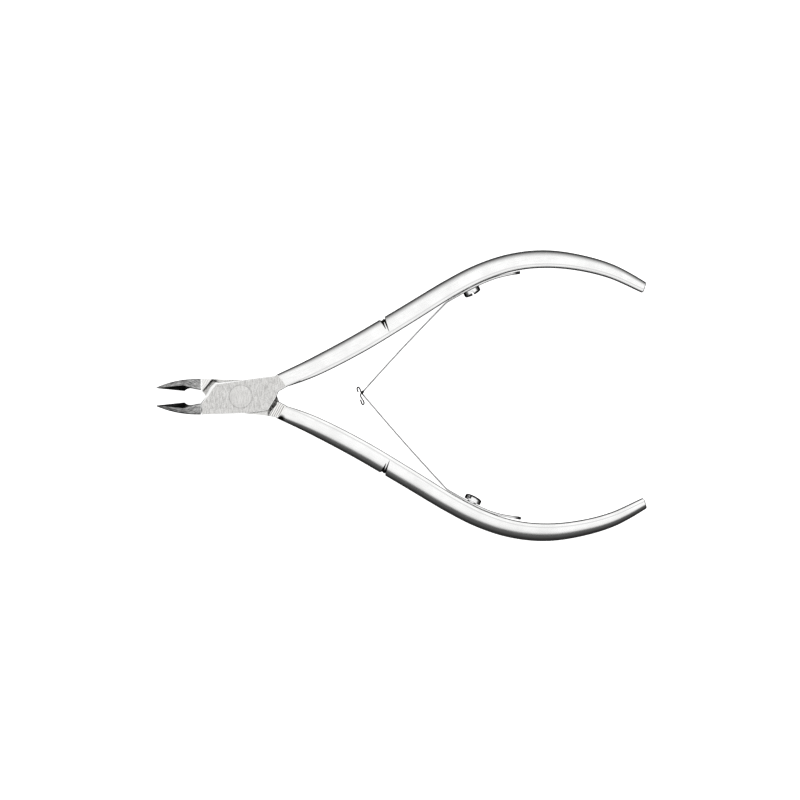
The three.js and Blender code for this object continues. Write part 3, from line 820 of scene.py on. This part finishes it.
def leaf_line(side, hook, lift):
    """Free end of the foot to the hooked tip: (point, run from the flex to the crossing)."""
    foot = [Vector((p.x, p.y * side)) for p in foot_points(lift)]
    arm = arm_points(side)
    bend = [CROSSING.to_2d()] + [Vector(p) for p in hook]
    line = []
    for i in range(FOOT_STEPS, 0, -1):
        line.append((spline_at(foot, i / FOOT_STEPS), -i / FOOT_STEPS))
    for i in range(ARM_STEPS + 1):
        line.append((spline_at(arm, i / ARM_STEPS), i / ARM_STEPS))
    for i in range(1, HOOK_STEPS + 1):
        line.append((spline_at(bend, i / HOOK_STEPS, mirrored_ends=True), 1 + i / HOOK_STEPS))
    for _ in range(BEND_SMOOTHINGS):
        smoothed = [p for p, _ in line]
        for i in range(FOOT_STEPS - BEND_REACH, FOOT_STEPS + BEND_REACH + 1):
            smoothed[i] = (line[i - 1][0] + line[i][0] * 2 + line[i + 1][0]) / 4
        line = [(p, run) for p, (_, run) in zip(smoothed, line)]
    return line


def leaf_width(run, male):
    if run < 0:
        return lerp(ARM_ROOT_WIDTH, FOOT_WIDTH, smoothstep(-run, 0, 0.25))
    base = lerp(ARM_ROOT_WIDTH, ARM_TIP_WIDTH, min(1.0, run))
    return lerp(base, TONGUE_WIDTH if male else SLOTTED_TIP_WIDTH, smoothstep(run, 0.84, 0.94))


def leaf_thickness(run, male):
    if run < 0:
        foot = lerp(LEAF_THICK, FOOT_THICK, smoothstep(-run, 0, 0.2))
        return foot + FOOT_END_SWELL * smoothstep(-run, 0.88, 0.96)
    leaf = lerp(LEAF_THICK, HOOK_THICK, smoothstep(run, 0.85, 1))
    swell = 1 - smoothstep(abs(run - KNUCKLE_RUN) / KNUCKLE_REACH, 0.2, 1) if male else 0
    return lerp(leaf, KNUCKLE_THICK, swell)


def leaf_section(half, thick, edge):
    """Corner by corner round the strip: (offset from the centre line, height)."""
    soft = edge * 0.3
    quarter = [(thick - edge, half), (thick - soft, half - soft), (thick, half - edge)]
    outer = quarter + [(n, -z) for n, z in reversed(quarter)]
    return outer + [(-n, z) for n, z in reversed(outer)]


def leaf_spring(name, side, hook, lift):
    male = side > 0
    line = leaf_line(side, hook, lift)
    centres = [point for point, _ in line]
    rings = []
    for i, (point, run) in enumerate(line):
        normal = left_of(heading_at(centres, i))
        half = leaf_width(run, male) / 2
        thick = leaf_thickness(run, male) / 2
        edge = min(LEAF_EDGE, thick * 0.6)
        from_end = min(i, len(line) - 1 - i)
        if from_end < len(LEAF_END_ROUND):
            half -= LEAF_END_ROUND[from_end][0]
            thick -= LEAF_END_ROUND[from_end][1]
        section = leaf_section(half, thick, edge)
        rings.append([raised(point + normal * n, z) for n, z in section])
    leaf = loft(name, rings)
    count = len(section)
    for polygon in leaf.data.polygons[:(len(rings) - 1) * count]:
        if polygon.index % count in LEAF_ROUNDED:
            polygon.material_index = SLOT_RIM
    hole = turned("leaf_hole", [(LEAF_HOLE_R, -3), (LEAF_HOLE_R, 3)], 40)
    place_along(hole, *screw_seat(side))
    leaf = combine(leaf, hole, "DIFFERENCE")
    if not male:
        heading = spline_tangent(arm_points(side), 1)
        leaf = combine(leaf, slot_cutter(heading), "DIFFERENCE")
    return leaf


def slot_cutter(heading):
    """Oblong with rounded corners, through the slotted leaf at the crossing."""
    across = left_of(heading)
    sides = 24
    outline = []
    for i in range(sides):
        angle = 2 * math.pi * (i + 0.5) / sides
        along, up = superellipse(angle, 5)
        x = SLOT_LENGTH / 2 * math.copysign(along, math.cos(angle))
        outline.append((x, SLOT_WIDTH / 2 * up))
    rings = []
    for reach in (-0.7, 0.7):
        centre = CROSSING.to_2d() + across * reach
        rings.append([raised(centre + heading * x, z) for x, z in outline])
    return loft("slot", rings)


# ------------------------------------------------------------------ screws and rivet
def spring_screw(name, side, gap, turn):
    """Turned screw with its shank toward +Z, set into the handle; slotted across its dome."""
    under = -(FOOT_GAP + FOOT_THICK + gap)
    top = under - SCREW_HEAD_HIGH
    rim = under - SCREW_RIM_HIGH
    corner = SCREW_CORNER
    dome_r = SCREW_HEAD_R - SCREW_RIM_CORNER[0]
    dome_base = rim - SCREW_RIM_CORNER[1]
    profile = [
        (0.3, SCREW_DEPTH - 0.1), (SCREW_SHANK_R * 0.7, SCREW_DEPTH - 0.1),
        (SCREW_SHANK_R, SCREW_DEPTH - 0.4), (SCREW_SHANK_R, under),
        (SCREW_HEAD_R - corner, under), (SCREW_HEAD_R, under - corner),
        (SCREW_HEAD_R, rim + 0.06), (dome_r, dome_base),
    ]
    for i in range(1, SCREW_DOME_STEPS):
        angle = math.pi / 2 * i / SCREW_DOME_STEPS
        profile.append((dome_r * math.cos(angle), lerp(dome_base, top, math.sin(angle))))
    profile.append((0.05, top))
    screw = turned(name, profile, SCREW_SIDES)
    wide = SCREW_SLOT_WIDE / 2
    reach = SCREW_HEAD_R * 1.5
    corners = [(-wide, -reach), (wide, -reach), (wide, reach), (-wide, reach)]
    slot = slab("driver_slot", corners, [(top - 1, 0), (top + SCREW_SLOT_DEEP, 0)])
    seat, inward = screw_seat(side)
    upright = math.atan2(inward.y, inward.x) - math.pi / 2
    slot.data.transform(Matrix.Rotation(upright + turn, 4, "Z"))
    screw = combine(screw, slot, "DIFFERENCE")
    place_along(screw, seat, inward)
    return screw


def pivot_rivet():
    head = RIVET_HEAD_R
    flat = head - RIVET_BEVEL
    lower = [
        (0.3, 0), (flat, 0), (head, RIVET_BEVEL_DROP), (head, RIVET_HEAD_DEEP),
        (RIVET_SHANK_R, RIVET_CONE_END),
    ]
    upper = [(radius, THICK - height) for radius, height in reversed(lower)]
    rivet = turned("rivet", lower + upper, RIVET_SIDES)
    # The bevel is the second band from the bottom and from the top.
    for band in (1, len(lower + upper) - 3):
        for polygon in rivet.data.polygons[band * RIVET_SIDES:(band + 1) * RIVET_SIDES]:
            polygon.material_index = SLOT_RIM
    return rivet


# ------------------------------------------------------------------ materials
# Depth of the marks that each way of working leaves on the steel.
GRIND_MARK = 0.012
PIT = 0.01
STONE_MARK = 0.008
POLISH_MARK = 0.006
FINE_SCUFF = 0.002
# Places given painted shade, and where the shoulder and blade lines run.
LAP_SHADE_X = 5.9
LAP_CORNER = (-5.5, 3.4)
LAP_CORNER_REACH = 0.45
HANDLE_CORNER = (8.7, -4.65)
SHOULDER_GRAIN = math.radians(61)
SHOULDER_LINES = 720.0
BLADE_CENTRE = (-12.5, -3.0)
# Dark ends of the leaves, and how far in from the rim and from the top of a screw head
# its painted shade begins and is full.
UPPER_TIP = (26.2, -1.6)
LOWER_TIP = (25.1, 1.9)
SCREW_BLACK_RIM = (0.55, 0.35)
SCREW_BLACK_DOME = (0.45, 0.25)


def grey(tone):
    return (tone, tone, tone)


class Nodes:
    """A short way to add shader nodes to a new material or world."""

    def __init__(self, owner):
        owner.use_nodes = True
        self.owner = owner
        self.tree = owner.node_tree
        self.shader = self.tree.nodes.get("Principled BSDF")

    def fill(self, socket, value):
        if isinstance(value, bpy.types.NodeSocket):
            self.tree.links.new(value, socket)
        else:
            socket.default_value = value

    def add(self, kind, inputs=None, **settings):
        node = self.tree.nodes.new(kind)
        for key, value in settings.items():
            setattr(node, key, value)
        for key, value in (inputs or {}).items():
            self.fill(node.inputs[key], value)
        return node

    def maths(self, operation, a, b=None):
        inputs = {0: a} if b is None else {0: a, 1: b}
        return self.add("ShaderNodeMath", inputs, operation=operation).outputs["Value"]

    def vector_maths(self, operation, a, b):
        node = self.add("ShaderNodeVectorMath", {0: a, 1: b}, operation=operation)
        return node.outputs["Vector" if operation == "SUBTRACT" else "Value"]

    def sum(self, *values):
        total = values[0]
        for value in values[1:]:
            total = self.maths("ADD", total, value)
        return total

    def times(self, value, factor):
        return self.maths("MULTIPLY", value, factor)

    def clamp(self, value, low, high):
        return self.maths("MINIMUM", self.maths("MAXIMUM", value, low), high)

    def place(self):
        return self.add("ShaderNodeTexCoord").outputs["Object"]

    def grain(self):
        return self.add("ShaderNodeUVMap", uv_map="grain").outputs["UV"]

    def part(self, vector, axis):
        return self.add("ShaderNodeSeparateXYZ", {"Vector": vector}).outputs[axis]

    def joined(self, x, y):
        return self.add("ShaderNodeCombineXYZ", {"X": x, "Y": y}).outputs["Vector"]

    def stretched(self, source, scale, turn=(0, 0, 0)):
        inputs = {"Vector": source, "Rotation": turn, "Scale": scale}
        return self.add("ShaderNodeMapping", inputs).outputs["Vector"]

    def noise(self, vector, scale, detail=3.0, rough=0.55):
        inputs = {"Vector": vector, "Scale": scale, "Detail": detail, "Roughness": rough}
        return self.add("ShaderNodeTexNoise", inputs).outputs["Fac"]

    def streaks(self, source, scale, detail=3.0, rough=0.55):
        """Noise drawn out along the axes of small scale."""
        return self.noise(self.stretched(source, scale), 1.0, detail, rough)

    def span(self, value, low, high, source_low=0.3, source_high=0.7, **settings):
        inputs = {
            "Value": value, "From Min": source_low, "From Max": source_high,
            "To Min": low, "To Max": high,
        }
        return self.add("ShaderNodeMapRange", inputs, **settings).outputs["Result"]

    def ramp(self, value, low_color, high_color, low=0.3, high=0.7):
        node = self.add("ShaderNodeValToRGB", {"Fac": value})
        node.color_ramp.elements[0].position = low
        node.color_ramp.elements[0].color = (*low_color, 1)
        node.color_ramp.elements[1].position = high
        node.color_ramp.elements[1].color = (*high_color, 1)
        return node.outputs["Color"]

    def mixed(self, share, first, second):
        """First where the share is 0, second where it is 1."""
        node = self.add("ShaderNodeMix", {"Factor": share}, data_type="RGBA")
        for socket, value in ((node.inputs[6], first), (node.inputs[7], second)):
            self.fill(socket, (*value, 1) if isinstance(value, tuple) else value)
        return node.outputs[2]

    def near(self, place, centre, inner, outer):
        """1 within the inner distance of a plan point in millimetres, 0 beyond the outer."""
        flat = self.stretched(place, (1, 1, 0))
        point = (centre[0] * MM, centre[1] * MM, 0)
        away = self.vector_maths("DISTANCE", flat, point)
        return self.span(away, 1, 0, inner * MM, outer * MM)

    def bump(self, height, depth, strength=1.0, under=None):
        inputs = {"Height": height, "Distance": depth * MM, "Strength": strength}
        if under:
            inputs["Normal"] = under
        return self.add("ShaderNodeBump", inputs).outputs["Normal"]

    def metal(self, color, roughness, normal):
        inputs = {"Metallic": 1.0, "Base Color": color, "Roughness": roughness, "Normal": normal}
        for key, value in inputs.items():
            self.fill(self.shader.inputs[key], value)
        return self.owner


def material_nodes(name):
    return Nodes(bpy.data.materials.new(name))


def polished_steel():
    """Handles: bright polish with the faint lengthwise lines of the polishing belt."""
    nodes = material_nodes("polished_steel")
    place = nodes.place()
    grain = nodes.grain()
    belt = nodes.streaks(grain, (0.25, 9, 1), 4)
    haze = nodes.noise(place, 260, 4)
    scuff = nodes.noise(nodes.stretched(place, (1, 1, 1), (0.4, 0.2, 0.9)), 1500, 2)
    tone = nodes.span(nodes.sum(belt, haze), 0, 1, 0.8, 1.2)
    polish = nodes.ramp(tone, (0.83, 0.83, 0.825), (0.93, 0.93, 0.925), 0.1, 0.9)
    # Painted shade: a grey band along the dome just past each crease with the inner chamfer.
    from_crease = nodes.part(grain, "Y")
    beside = nodes.span(from_crease, 1, 0, 0.08, 0.34)
    below = nodes.span(from_crease, 0, 1, -0.04, 0.0)
    color = nodes.mixed(nodes.times(beside, below), polish, grey(0.66))
    # Painted shade: a black spot in the corner where the handle meets its block.
    corner_shade = nodes.near(place, HANDLE_CORNER, 0.35, 0.95)
    color = nodes.mixed(corner_shade, color, grey(0.03))
    wear = nodes.add("ShaderNodeNewGeometry").outputs["Pointiness"]
    worn = nodes.span(wear, 0, 0.08, 0.52, 0.62)
    satin = nodes.span(belt, 0.13, 0.24)
    lines = nodes.bump(belt, POLISH_MARK, 0.5)
    return nodes.metal(color, nodes.sum(satin, worn), nodes.bump(scuff, FINE_SCUFF, 0.4, lines))


def ground_steel(name, dark, light):
    """Flat-ground joint faces: short close lines along Y, broken up by fine speckle."""
    nodes = material_nodes(name)
    place = nodes.place()
    fine = nodes.streaks(place, (5200, 750, 1000), 2, 0.6)
    broad = nodes.streaks(place, (1800, 500, 300), 2, 0.5)
    speck = nodes.noise(place, 5200, 2, 0.5)
    tone = nodes.sum(nodes.times(fine, 1.3), nodes.times(broad, 0.25), nodes.times(speck, 0.8))
    color = nodes.ramp(
        nodes.span(tone, 0, 1, 0.95, 1.4), (dark, dark * 0.99, dark * 0.965),
        (light, light * 0.993, light * 0.975), 0.05, 0.95)
    lines = nodes.bump(fine, GRIND_MARK, 0.5)
    return nodes.metal(color, nodes.span(fine, 0.34, 0.5), nodes.bump(speck, PIT, 0.35, lines))


def shoulder_steel():
    """Shoulders beside the joint: dark belt lines along the shoulder, fainter on the jaw."""
    nodes = material_nodes("shoulder_steel")
    place = nodes.place()
    turned_place = nodes.stretched(place, (1, 1, 1), (0, 0, -SHOULDER_GRAIN))
    fine = nodes.streaks(turned_place, (260, 7500, 1000), 2, 0.6)
    wave = {
        "Vector": turned_place, "Scale": SHOULDER_LINES, "Distortion": 2.5, "Detail": 2.0,
        "Detail Scale": 0.6,
    }
    lines = nodes.add("ShaderNodeTexWave", wave, wave_type="BANDS", bands_direction="Y")
    tone = nodes.sum(lines.outputs["Fac"], nodes.times(fine, 1.2))
    color = nodes.ramp(
        nodes.span(tone, 0, 1, 0.6, 1.5), (0.22, 0.215, 0.21), (0.95, 0.94, 0.92), 0.0, 0.7)
    on_jaw = nodes.span(nodes.part(place, "X"), 0.7, 0, -5 * MM, -4 * MM)
    color = nodes.mixed(on_jaw, color, (0.84, 0.835, 0.82))
    return nodes.metal(color, nodes.span(fine, 0.3, 0.46), nodes.bump(fine, GRIND_MARK, 0.5))


def edge_steel():
    """Burnished bevels along the ground faces."""
    nodes = material_nodes("edge_steel")
    place = nodes.place()
    haze = nodes.noise(place, 900, 3)
    scuff = nodes.noise(place, 3800, 2)
    color = nodes.ramp(haze, (0.86, 0.86, 0.85), (0.97, 0.97, 0.96))
    return nodes.metal(color, nodes.span(scuff, 0.22, 0.4), nodes.bump(scuff, POLISH_MARK, 0.4))


def lap_steel():
    """Sliding face of the lap joint: bright where it lies open, with painted shade where it
    lies deep beside the jaw block, in its corners and in the gap by the shoulder."""
    nodes = material_nodes("lap_steel")
    place = nodes.place()
    along = nodes.part(place, "X")
    smear = nodes.noise(place, 700, 3)
    speck = nodes.noise(place, 3600, 2)
    patch = nodes.noise(place, 2100, 2)
    # Painted shade, near black to mid grey, for the lap face where it lies deep.
    painted_shade = nodes.ramp(patch, (0.03, 0.029, 0.027), (0.36, 0.355, 0.345), 0.38, 0.66)
    # Lighter painted shade for the face toward the jaw, deep between the jaw block and the plate.
    half_shade = nodes.ramp(speck, (0.62, 0.615, 0.6), (0.88, 0.875, 0.86))
    bright = nodes.ramp(speck, (0.86, 0.855, 0.84), (0.98, 0.975, 0.96))
    face_color = nodes.mixed(nodes.span(along, 0, 1, -1.5 * MM, -0.5 * MM), half_shade, bright)
    # Painted shade in the corners, from ambient occlusion.
    corner = nodes.add("ShaderNodeAmbientOcclusion", {"Distance": LAP_CORNER_REACH * MM}, samples=8)
    ao_shade = nodes.span(corner.outputs["AO"], 1, 0, 0.5, 0.75)
    face_color = nodes.mixed(ao_shade, face_color, painted_shade)
    # Painted shade over the face from the shoulder gap on toward the handle.
    out_of_shade = nodes.span(along, 1, 0, (LAP_SHADE_X - 0.4) * MM, LAP_SHADE_X * MM)
    color = nodes.mixed(out_of_shade, painted_shade, face_color)
    # Painted shade spots in the corners by the jaw block.
    x, y = LAP_CORNER
    for centre in ((x, -y), (x, y)):
        color = nodes.mixed(nodes.near(place, centre, 0.2, 0.75), color, painted_shade)
    return nodes.metal(color, nodes.span(smear, 0.34, 0.5), nodes.bump(speck, PIT, 0.4))


def cut_steel():
    """Walls of the file cuts, rough and near black; on the bevel along the jaw block the
    near black is painted shade.
    """
    nodes = material_nodes("cut_steel")
    smear = nodes.noise(nodes.place(), 1800, 3)
    color = nodes.ramp(smear, (0.02, 0.02, 0.019), (0.10, 0.10, 0.095))
    return nodes.metal(color, nodes.span(smear, 0.3, 0.5), nodes.bump(smear, PIT, 0.5))


def blade_steel():
    """Blades: fine grinding lines on arcs about a point in the other blade."""
    nodes = material_nodes("blade_steel")
    place = nodes.place()
    aside = nodes.maths("ABSOLUTE", nodes.part(place, "Y"))
    x = nodes.maths("SUBTRACT", nodes.part(place, "X"), BLADE_CENTRE[0] * MM)
    y = nodes.maths("SUBTRACT", aside, BLADE_CENTRE[1] * MM)
    away = nodes.maths("SQRT", nodes.sum(nodes.times(x, x), nodes.times(y, y)))
    polar = nodes.joined(away, nodes.maths("ARCTAN2", y, x))
    streak = nodes.streaks(polar, (5200, 5, 1), 3, 0.6)
    broad = nodes.streaks(polar, (1500, 1.6, 1), 2)
    speck = nodes.noise(place, 4200, 2)
    tone = nodes.sum(streak, nodes.times(broad, 0.5), nodes.times(speck, 0.4))
    tone = nodes.span(tone, 0, 1, 0.78, 1.18)
    color = nodes.ramp(tone, grey(0.11), (0.56, 0.56, 0.555), 0.05, 0.95)
    return nodes.metal(color, nodes.span(broad, 0.24, 0.38), nodes.bump(streak, GRIND_MARK, 0.5))


def facet_steel():
    """Sharpened inner facets of the blades: stone finish, with the black look of a mirror-bright
    facet painted into its colour as a dark reflection.
    """
    nodes = material_nodes("facet_steel")
    place = nodes.place()
    streak = nodes.streaks(place, (2600, 900, 900), 3)
    smear = nodes.noise(place, 700, 3)
    # Painted reflection: the facet's colour is near black.
    color = nodes.ramp(smear, grey(0.03), grey(0.24), 0.35, 0.7)
    return nodes.metal(color, nodes.span(streak, 0.15, 0.3), nodes.bump(streak, STONE_MARK, 0.4))


def spring_steel(name, side, foot_tone, arm_tone):
    """Leaves: rolled strip, dark at the hooks and the free end; painted shade where they cross."""
    nodes = material_nodes(name)
    place = nodes.place()
    rolled = nodes.streaks(nodes.grain(), (0.3, 8, 1), 3)
    spots = nodes.noise(place, 900, 3)
    tone = nodes.span(nodes.sum(rolled, spots), 0, 1, 0.8, 1.2)
    foot = nodes.ramp(tone, grey(foot_tone * 0.84), grey(foot_tone), 0.1, 0.9)
    arm = nodes.ramp(tone, grey(arm_tone * 0.75), grey(arm_tone), 0.1, 0.9)
    along = nodes.part(place, "X")
    on_arm = nodes.span(along, 1, 0, (UPPER_FLEX.x - 1) * MM, (UPPER_FLEX.x + 4) * MM)
    dark = nodes.span(along, 0.75, 0, CROSSING.x * MM, (CROSSING.x + 0.9) * MM)
    foot_end = foot_points(0)[-1]
    # Dark spots: painted shade where the leaves cross, and dark hook tips and free end.
    for centre, inner, outer in (
        (CROSSING, 0.5, 1.0),
        (UPPER_TIP, 0.7, 1.2),
        (LOWER_TIP, 0.45, 0.9),
        ((foot_end.x, foot_end.y * side), 0.9, 1.8),
    ):
        dark = nodes.maths("MAXIMUM", dark, nodes.near(place, centre, inner, outer))
    color = nodes.mixed(dark, nodes.mixed(on_arm, foot, arm), grey(0.025))
    return nodes.metal(color, nodes.span(rolled, 0.2, 0.34), nodes.bump(rolled, POLISH_MARK, 0.5))


def screw_steel(name, side, gap):
    """Screws: bright turned heads, with painted shade round the rim and over the dome's edge."""
    nodes = material_nodes(name)
    place = nodes.place()
    rings = nodes.streaks(nodes.grain(), (9, 0.3, 1), 3)
    spots = nodes.noise(place, 1400, 3)
    bright = nodes.ramp(spots, grey(0.8), grey(0.95))
    seat, inward = screw_seat(side)
    from_seat = nodes.vector_maths("SUBTRACT", place, tuple(seat * MM))
    raised = nodes.vector_maths("DOT_PRODUCT", from_seat, tuple(-inward))
    sideways = nodes.vector_maths("DOT_PRODUCT", from_seat, (-inward.y, inward.x, 0))
    begins, full = (reach * MM for reach in SCREW_BLACK_RIM)
    radius = SCREW_HEAD_R * MM
    rim = nodes.span(nodes.maths("ABSOLUTE", sideways), 0, 1, radius - begins, radius - full)
    begins, full = (reach * MM for reach in SCREW_BLACK_DOME)
    top = (FOOT_GAP + FOOT_THICK + gap + SCREW_HEAD_HIGH) * MM
    dome = nodes.span(raised, 0, 1, top - begins, top - full)
    # Painted shade: black round the rim and over the edge of the dome.
    color = nodes.mixed(nodes.maths("MAXIMUM", rim, dome), bright, grey(0.03))
    return nodes.metal(color, nodes.span(rings, 0.08, 0.2), nodes.bump(rings, POLISH_MARK, 0.5))


# ------------------------------------------------------------------ build
# Edges that turn by more degrees than this stay crisp.
SHARP = 28
LEAF_SHARP = 30


def dress(piece, materials):
    """Scales a finished piece to metres and gives it its materials."""
    piece.data.transform(Matrix.Scale(MM, 4))
    for i, material in enumerate(materials):
        piece.data.materials[i] = material
    while len(piece.data.materials) > len(materials):
        piece.data.materials.pop()


forging_materials = [
    polished_steel(), ground_steel("ground_steel", 0.48, 0.81), shoulder_steel(), blade_steel(),
    edge_steel(), lap_steel(), cut_steel(), facet_steel(),
]
upper_half = forging()
upper_half.name = "upper_half_forging"
lower_half = mirrored_half(upper_half, "lower_half_forging")
for half, body, node in (
    (upper_half, "upper_half", "upper_handle_half"),
    (lower_half, "lower_half", "lower_handle_half"),
):
    dress(half, forging_materials)
    finish_shading(half, SHARP)
    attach(half, body)
    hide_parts(node)

rivet = pivot_rivet()
rivet.name = "flush_rivet"
# The bevel ring gets a darker copy of the ground finish, as painted shade.
dress(rivet, [
    ground_steel("rivet_steel", 0.58, 0.815),
    ground_steel("rivet_ring_steel", 0.42, 0.66),
])
finish_shading(rivet, SHARP)
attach(rivet, "lower_half")
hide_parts("pivot_rivet")

for side, which, hook, lift in (
    (1, "upper", UPPER_HOOK, UPPER_FOOT_LIFT),
    (-1, "lower", LOWER_HOOK, LOWER_FOOT_LIFT),
):
    leaf = leaf_spring(which + "_leaf_spring", side, hook, lift)
    # The rounded edges get a darker copy of the strip's finish, as painted shade.
    dress(leaf, [
        spring_steel(which + "_spring_steel", side, 0.86, 0.4),
        spring_steel(which + "_spring_edge", side, 0.3, 0.4),
    ])
    for polygon in leaf.data.polygons:
        polygon.use_smooth = True
    leaf.data.set_sharp_from_angle(angle=math.radians(LEAF_SHARP))
    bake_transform(leaf)
    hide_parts(which + "_spring_foot", which + "_spring_arm")

for side, which, gap, turn in (
    (1, "upper", UPPER_HEAD_GAP, UPPER_SLOT_TURN),
    (-1, "lower", LOWER_HEAD_GAP, LOWER_SLOT_TURN),
):
    screw = spring_screw(which + "_slotted_screw", side, gap, turn)
    dress(screw, [screw_steel(which + "_screw_steel", side, gap)])
    finish_shading(screw, SHARP)
    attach(screw, which + "_half")
    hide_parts(which + "_spring_screw")


# ------------------------------------------------------------------ studio
# The floor is a light table, so the ground stays white under the nipper.
FLOOR_GLOW = 0.95
FLOOR_REACH = 2500.0
FLOOR_DROP = 0.05
# Height of the dark zone under the tent at the front and at both sides, as the sine of
# elevation, and how far below the horizon it sinks between the sides and the back.
DARK_FRONT = 0.7
DARK_LEFT = 1.0
DARK_RIGHT = 0.9
SIDE_FALLOFF = 3.0
BACK_BELOW = 0.25
# Brightness of the tent against height above the dark zone.
TENT_STOPS = [
    (-1.0, 0.02), (-0.7, 0.06), (-0.4, 0.085), (-0.12, 0.1), (-0.02, 0.2), (0.1, 0.85), (0.3, 1.0),
]
TENT_BRIGHT = 1.1
# Back wall: brightness at the horizon, its rise with the sine of elevation, its darkest,
# and where it takes over from the tent going round.
BACK_LEVEL = 0.52
BACK_RISE = 0.84
BACK_DARKEST = 0.05
BACK_FROM = 0.62
BACK_BLEND = 0.2
# Gap in the tent on the horizon that lights the bevels: its heading, how far from the
# middle its light ends and is full, and its glow.
GAP_HEADING = math.radians(180)
GAP_ENDS = math.radians(12)
GAP_FULL = math.radians(6)
GAP_GLOW = 2.0
# Camera: the length that it sees across the frame, and the middle of the nipper.
LENS = 180
SENSOR = 36
VIEW_ACROSS = 172.0
VIEW_CENTRE = (34.14, -0.84)
VIEW_ROLL = math.radians(-0.17)
SIGHT = 20


def studio_floor():
    nodes = material_nodes("pale_floor")
    color = nodes.ramp(nodes.noise(nodes.place(), 3, 2), grey(0.93), grey(0.95))
    for key, value in (
        ("Base Color", color),
        ("Roughness", 0.9),
        ("Specular IOR Level", 0.1),
        ("Emission Color", (1, 1, 1, 1)),
        ("Emission Strength", FLOOR_GLOW),
    ):
        nodes.fill(nodes.shader.inputs[key], value)
    level = cad_box[0][2] / MM - FLOOR_DROP
    reach = FLOOR_REACH
    corners = [(-reach, -reach), (reach, -reach), (reach, reach), (-reach, reach)]
    points = [Vector((x, y, level)) for x, y in corners]
    floor = make_object("floor", points, [[0, 1, 2, 3]])
    dress(floor, [nodes.owner])
    floor.visible_glossy = False


def tent_light(nodes, height, edge):
    """Brightness of the white tent, dark below its edge."""
    level = nodes.maths("ADD", nodes.times(nodes.maths("SUBTRACT", height, edge), 0.5), 0.5)
    fade = nodes.add("ShaderNodeValToRGB", {"Fac": level})
    fade.color_ramp.interpolation = "B_SPLINE"
    stops = fade.color_ramp.elements
    while len(stops) < len(TENT_STOPS):
        stops.new(0.5)
    for stop, (above, value) in zip(stops, TENT_STOPS):
        stop.position = 0.5 + above / 2
        stop.color = (value, value, value, 1)
    return fade.outputs["Color"]


def studio_world():
    """A white tent for the steel to reflect, with its front and sides dark low down, a wall
    behind that darkens toward the floor, and one gap at the jaw end."""
    world = bpy.data.worlds.new("studio")
    bpy.context.scene.world = world
    nodes = Nodes(world)
    maths = nodes.maths
    heading = nodes.add("ShaderNodeTexCoord").outputs["Generated"]
    x, y, z = nodes.add("ShaderNodeSeparateXYZ", {"Vector": heading}).outputs
    flat = maths("SQRT", maths("ADD", maths("MULTIPLY", x, x), maths("MULTIPLY", y, y)))
    flat = maths("MAXIMUM", flat, 0.001)
    across = maths("DIVIDE", x, flat)
    behind = maths("DIVIDE", y, flat)
    front = maths("MULTIPLY", behind, -DARK_FRONT)
    sides = []
    for toward, dark in ((-1.0, DARK_LEFT), (1.0, DARK_RIGHT)):
        share = maths("MAXIMUM", maths("MULTIPLY", across, toward), 0.0)
        sides.append(maths("MULTIPLY", maths("POWER", share, SIDE_FALLOFF), dark))
    side = maths("SUBTRACT", maths("MAXIMUM", *sides), BACK_BELOW)
    tent = tent_light(nodes, z, maths("MAXIMUM", front, side))
    wall = maths("ADD", maths("MULTIPLY", z, BACK_RISE), BACK_LEVEL)
    wall = nodes.clamp(wall, BACK_DARKEST, 1.0)
    share = maths("DIVIDE", maths("SUBTRACT", behind, BACK_FROM), BACK_BLEND)
    share = nodes.clamp(share, 0.0, 1.0)
    tent = maths("MULTIPLY", tent, maths("SUBTRACT", 1.0, share))
    tent = maths("ADD", tent, maths("MULTIPLY", wall, share))
    toward_gap = (math.cos(GAP_HEADING), math.sin(GAP_HEADING), 0.0)
    near = nodes.vector_maths("DOT_PRODUCT", heading, toward_gap)
    gap = nodes.span(
        near, 0, GAP_GLOW, math.cos(GAP_ENDS), math.cos(GAP_FULL),
        interpolation_type="SMOOTHSTEP")
    light = maths("ADD", maths("MULTIPLY", tent, TENT_BRIGHT), gap)
    background = nodes.tree.nodes["Background"]
    nodes.fill(background.inputs["Strength"], light)
    nodes.fill(background.inputs["Color"], (1, 1, 1, 1))


def studio_camera():
    """Straight down from far off, over the middle of the nipper."""
    data = bpy.data.cameras.new("camera")
    camera = bpy.data.objects.new("camera", data)
    bpy.context.scene.collection.objects.link(camera)
    data.lens = LENS
    data.sensor_width = SENSOR
    data.clip_end = SIGHT
    distance = VIEW_ACROSS * data.lens / data.sensor_width
    camera.location = Vector((*VIEW_CENTRE, MID + distance)) * MM
    camera.rotation_euler = (0, 0, VIEW_ROLL)
    bpy.context.scene.camera = camera


studio_floor()
studio_world()
studio_camera()
bpy.context.scene.view_settings.view_transform = "Standard"
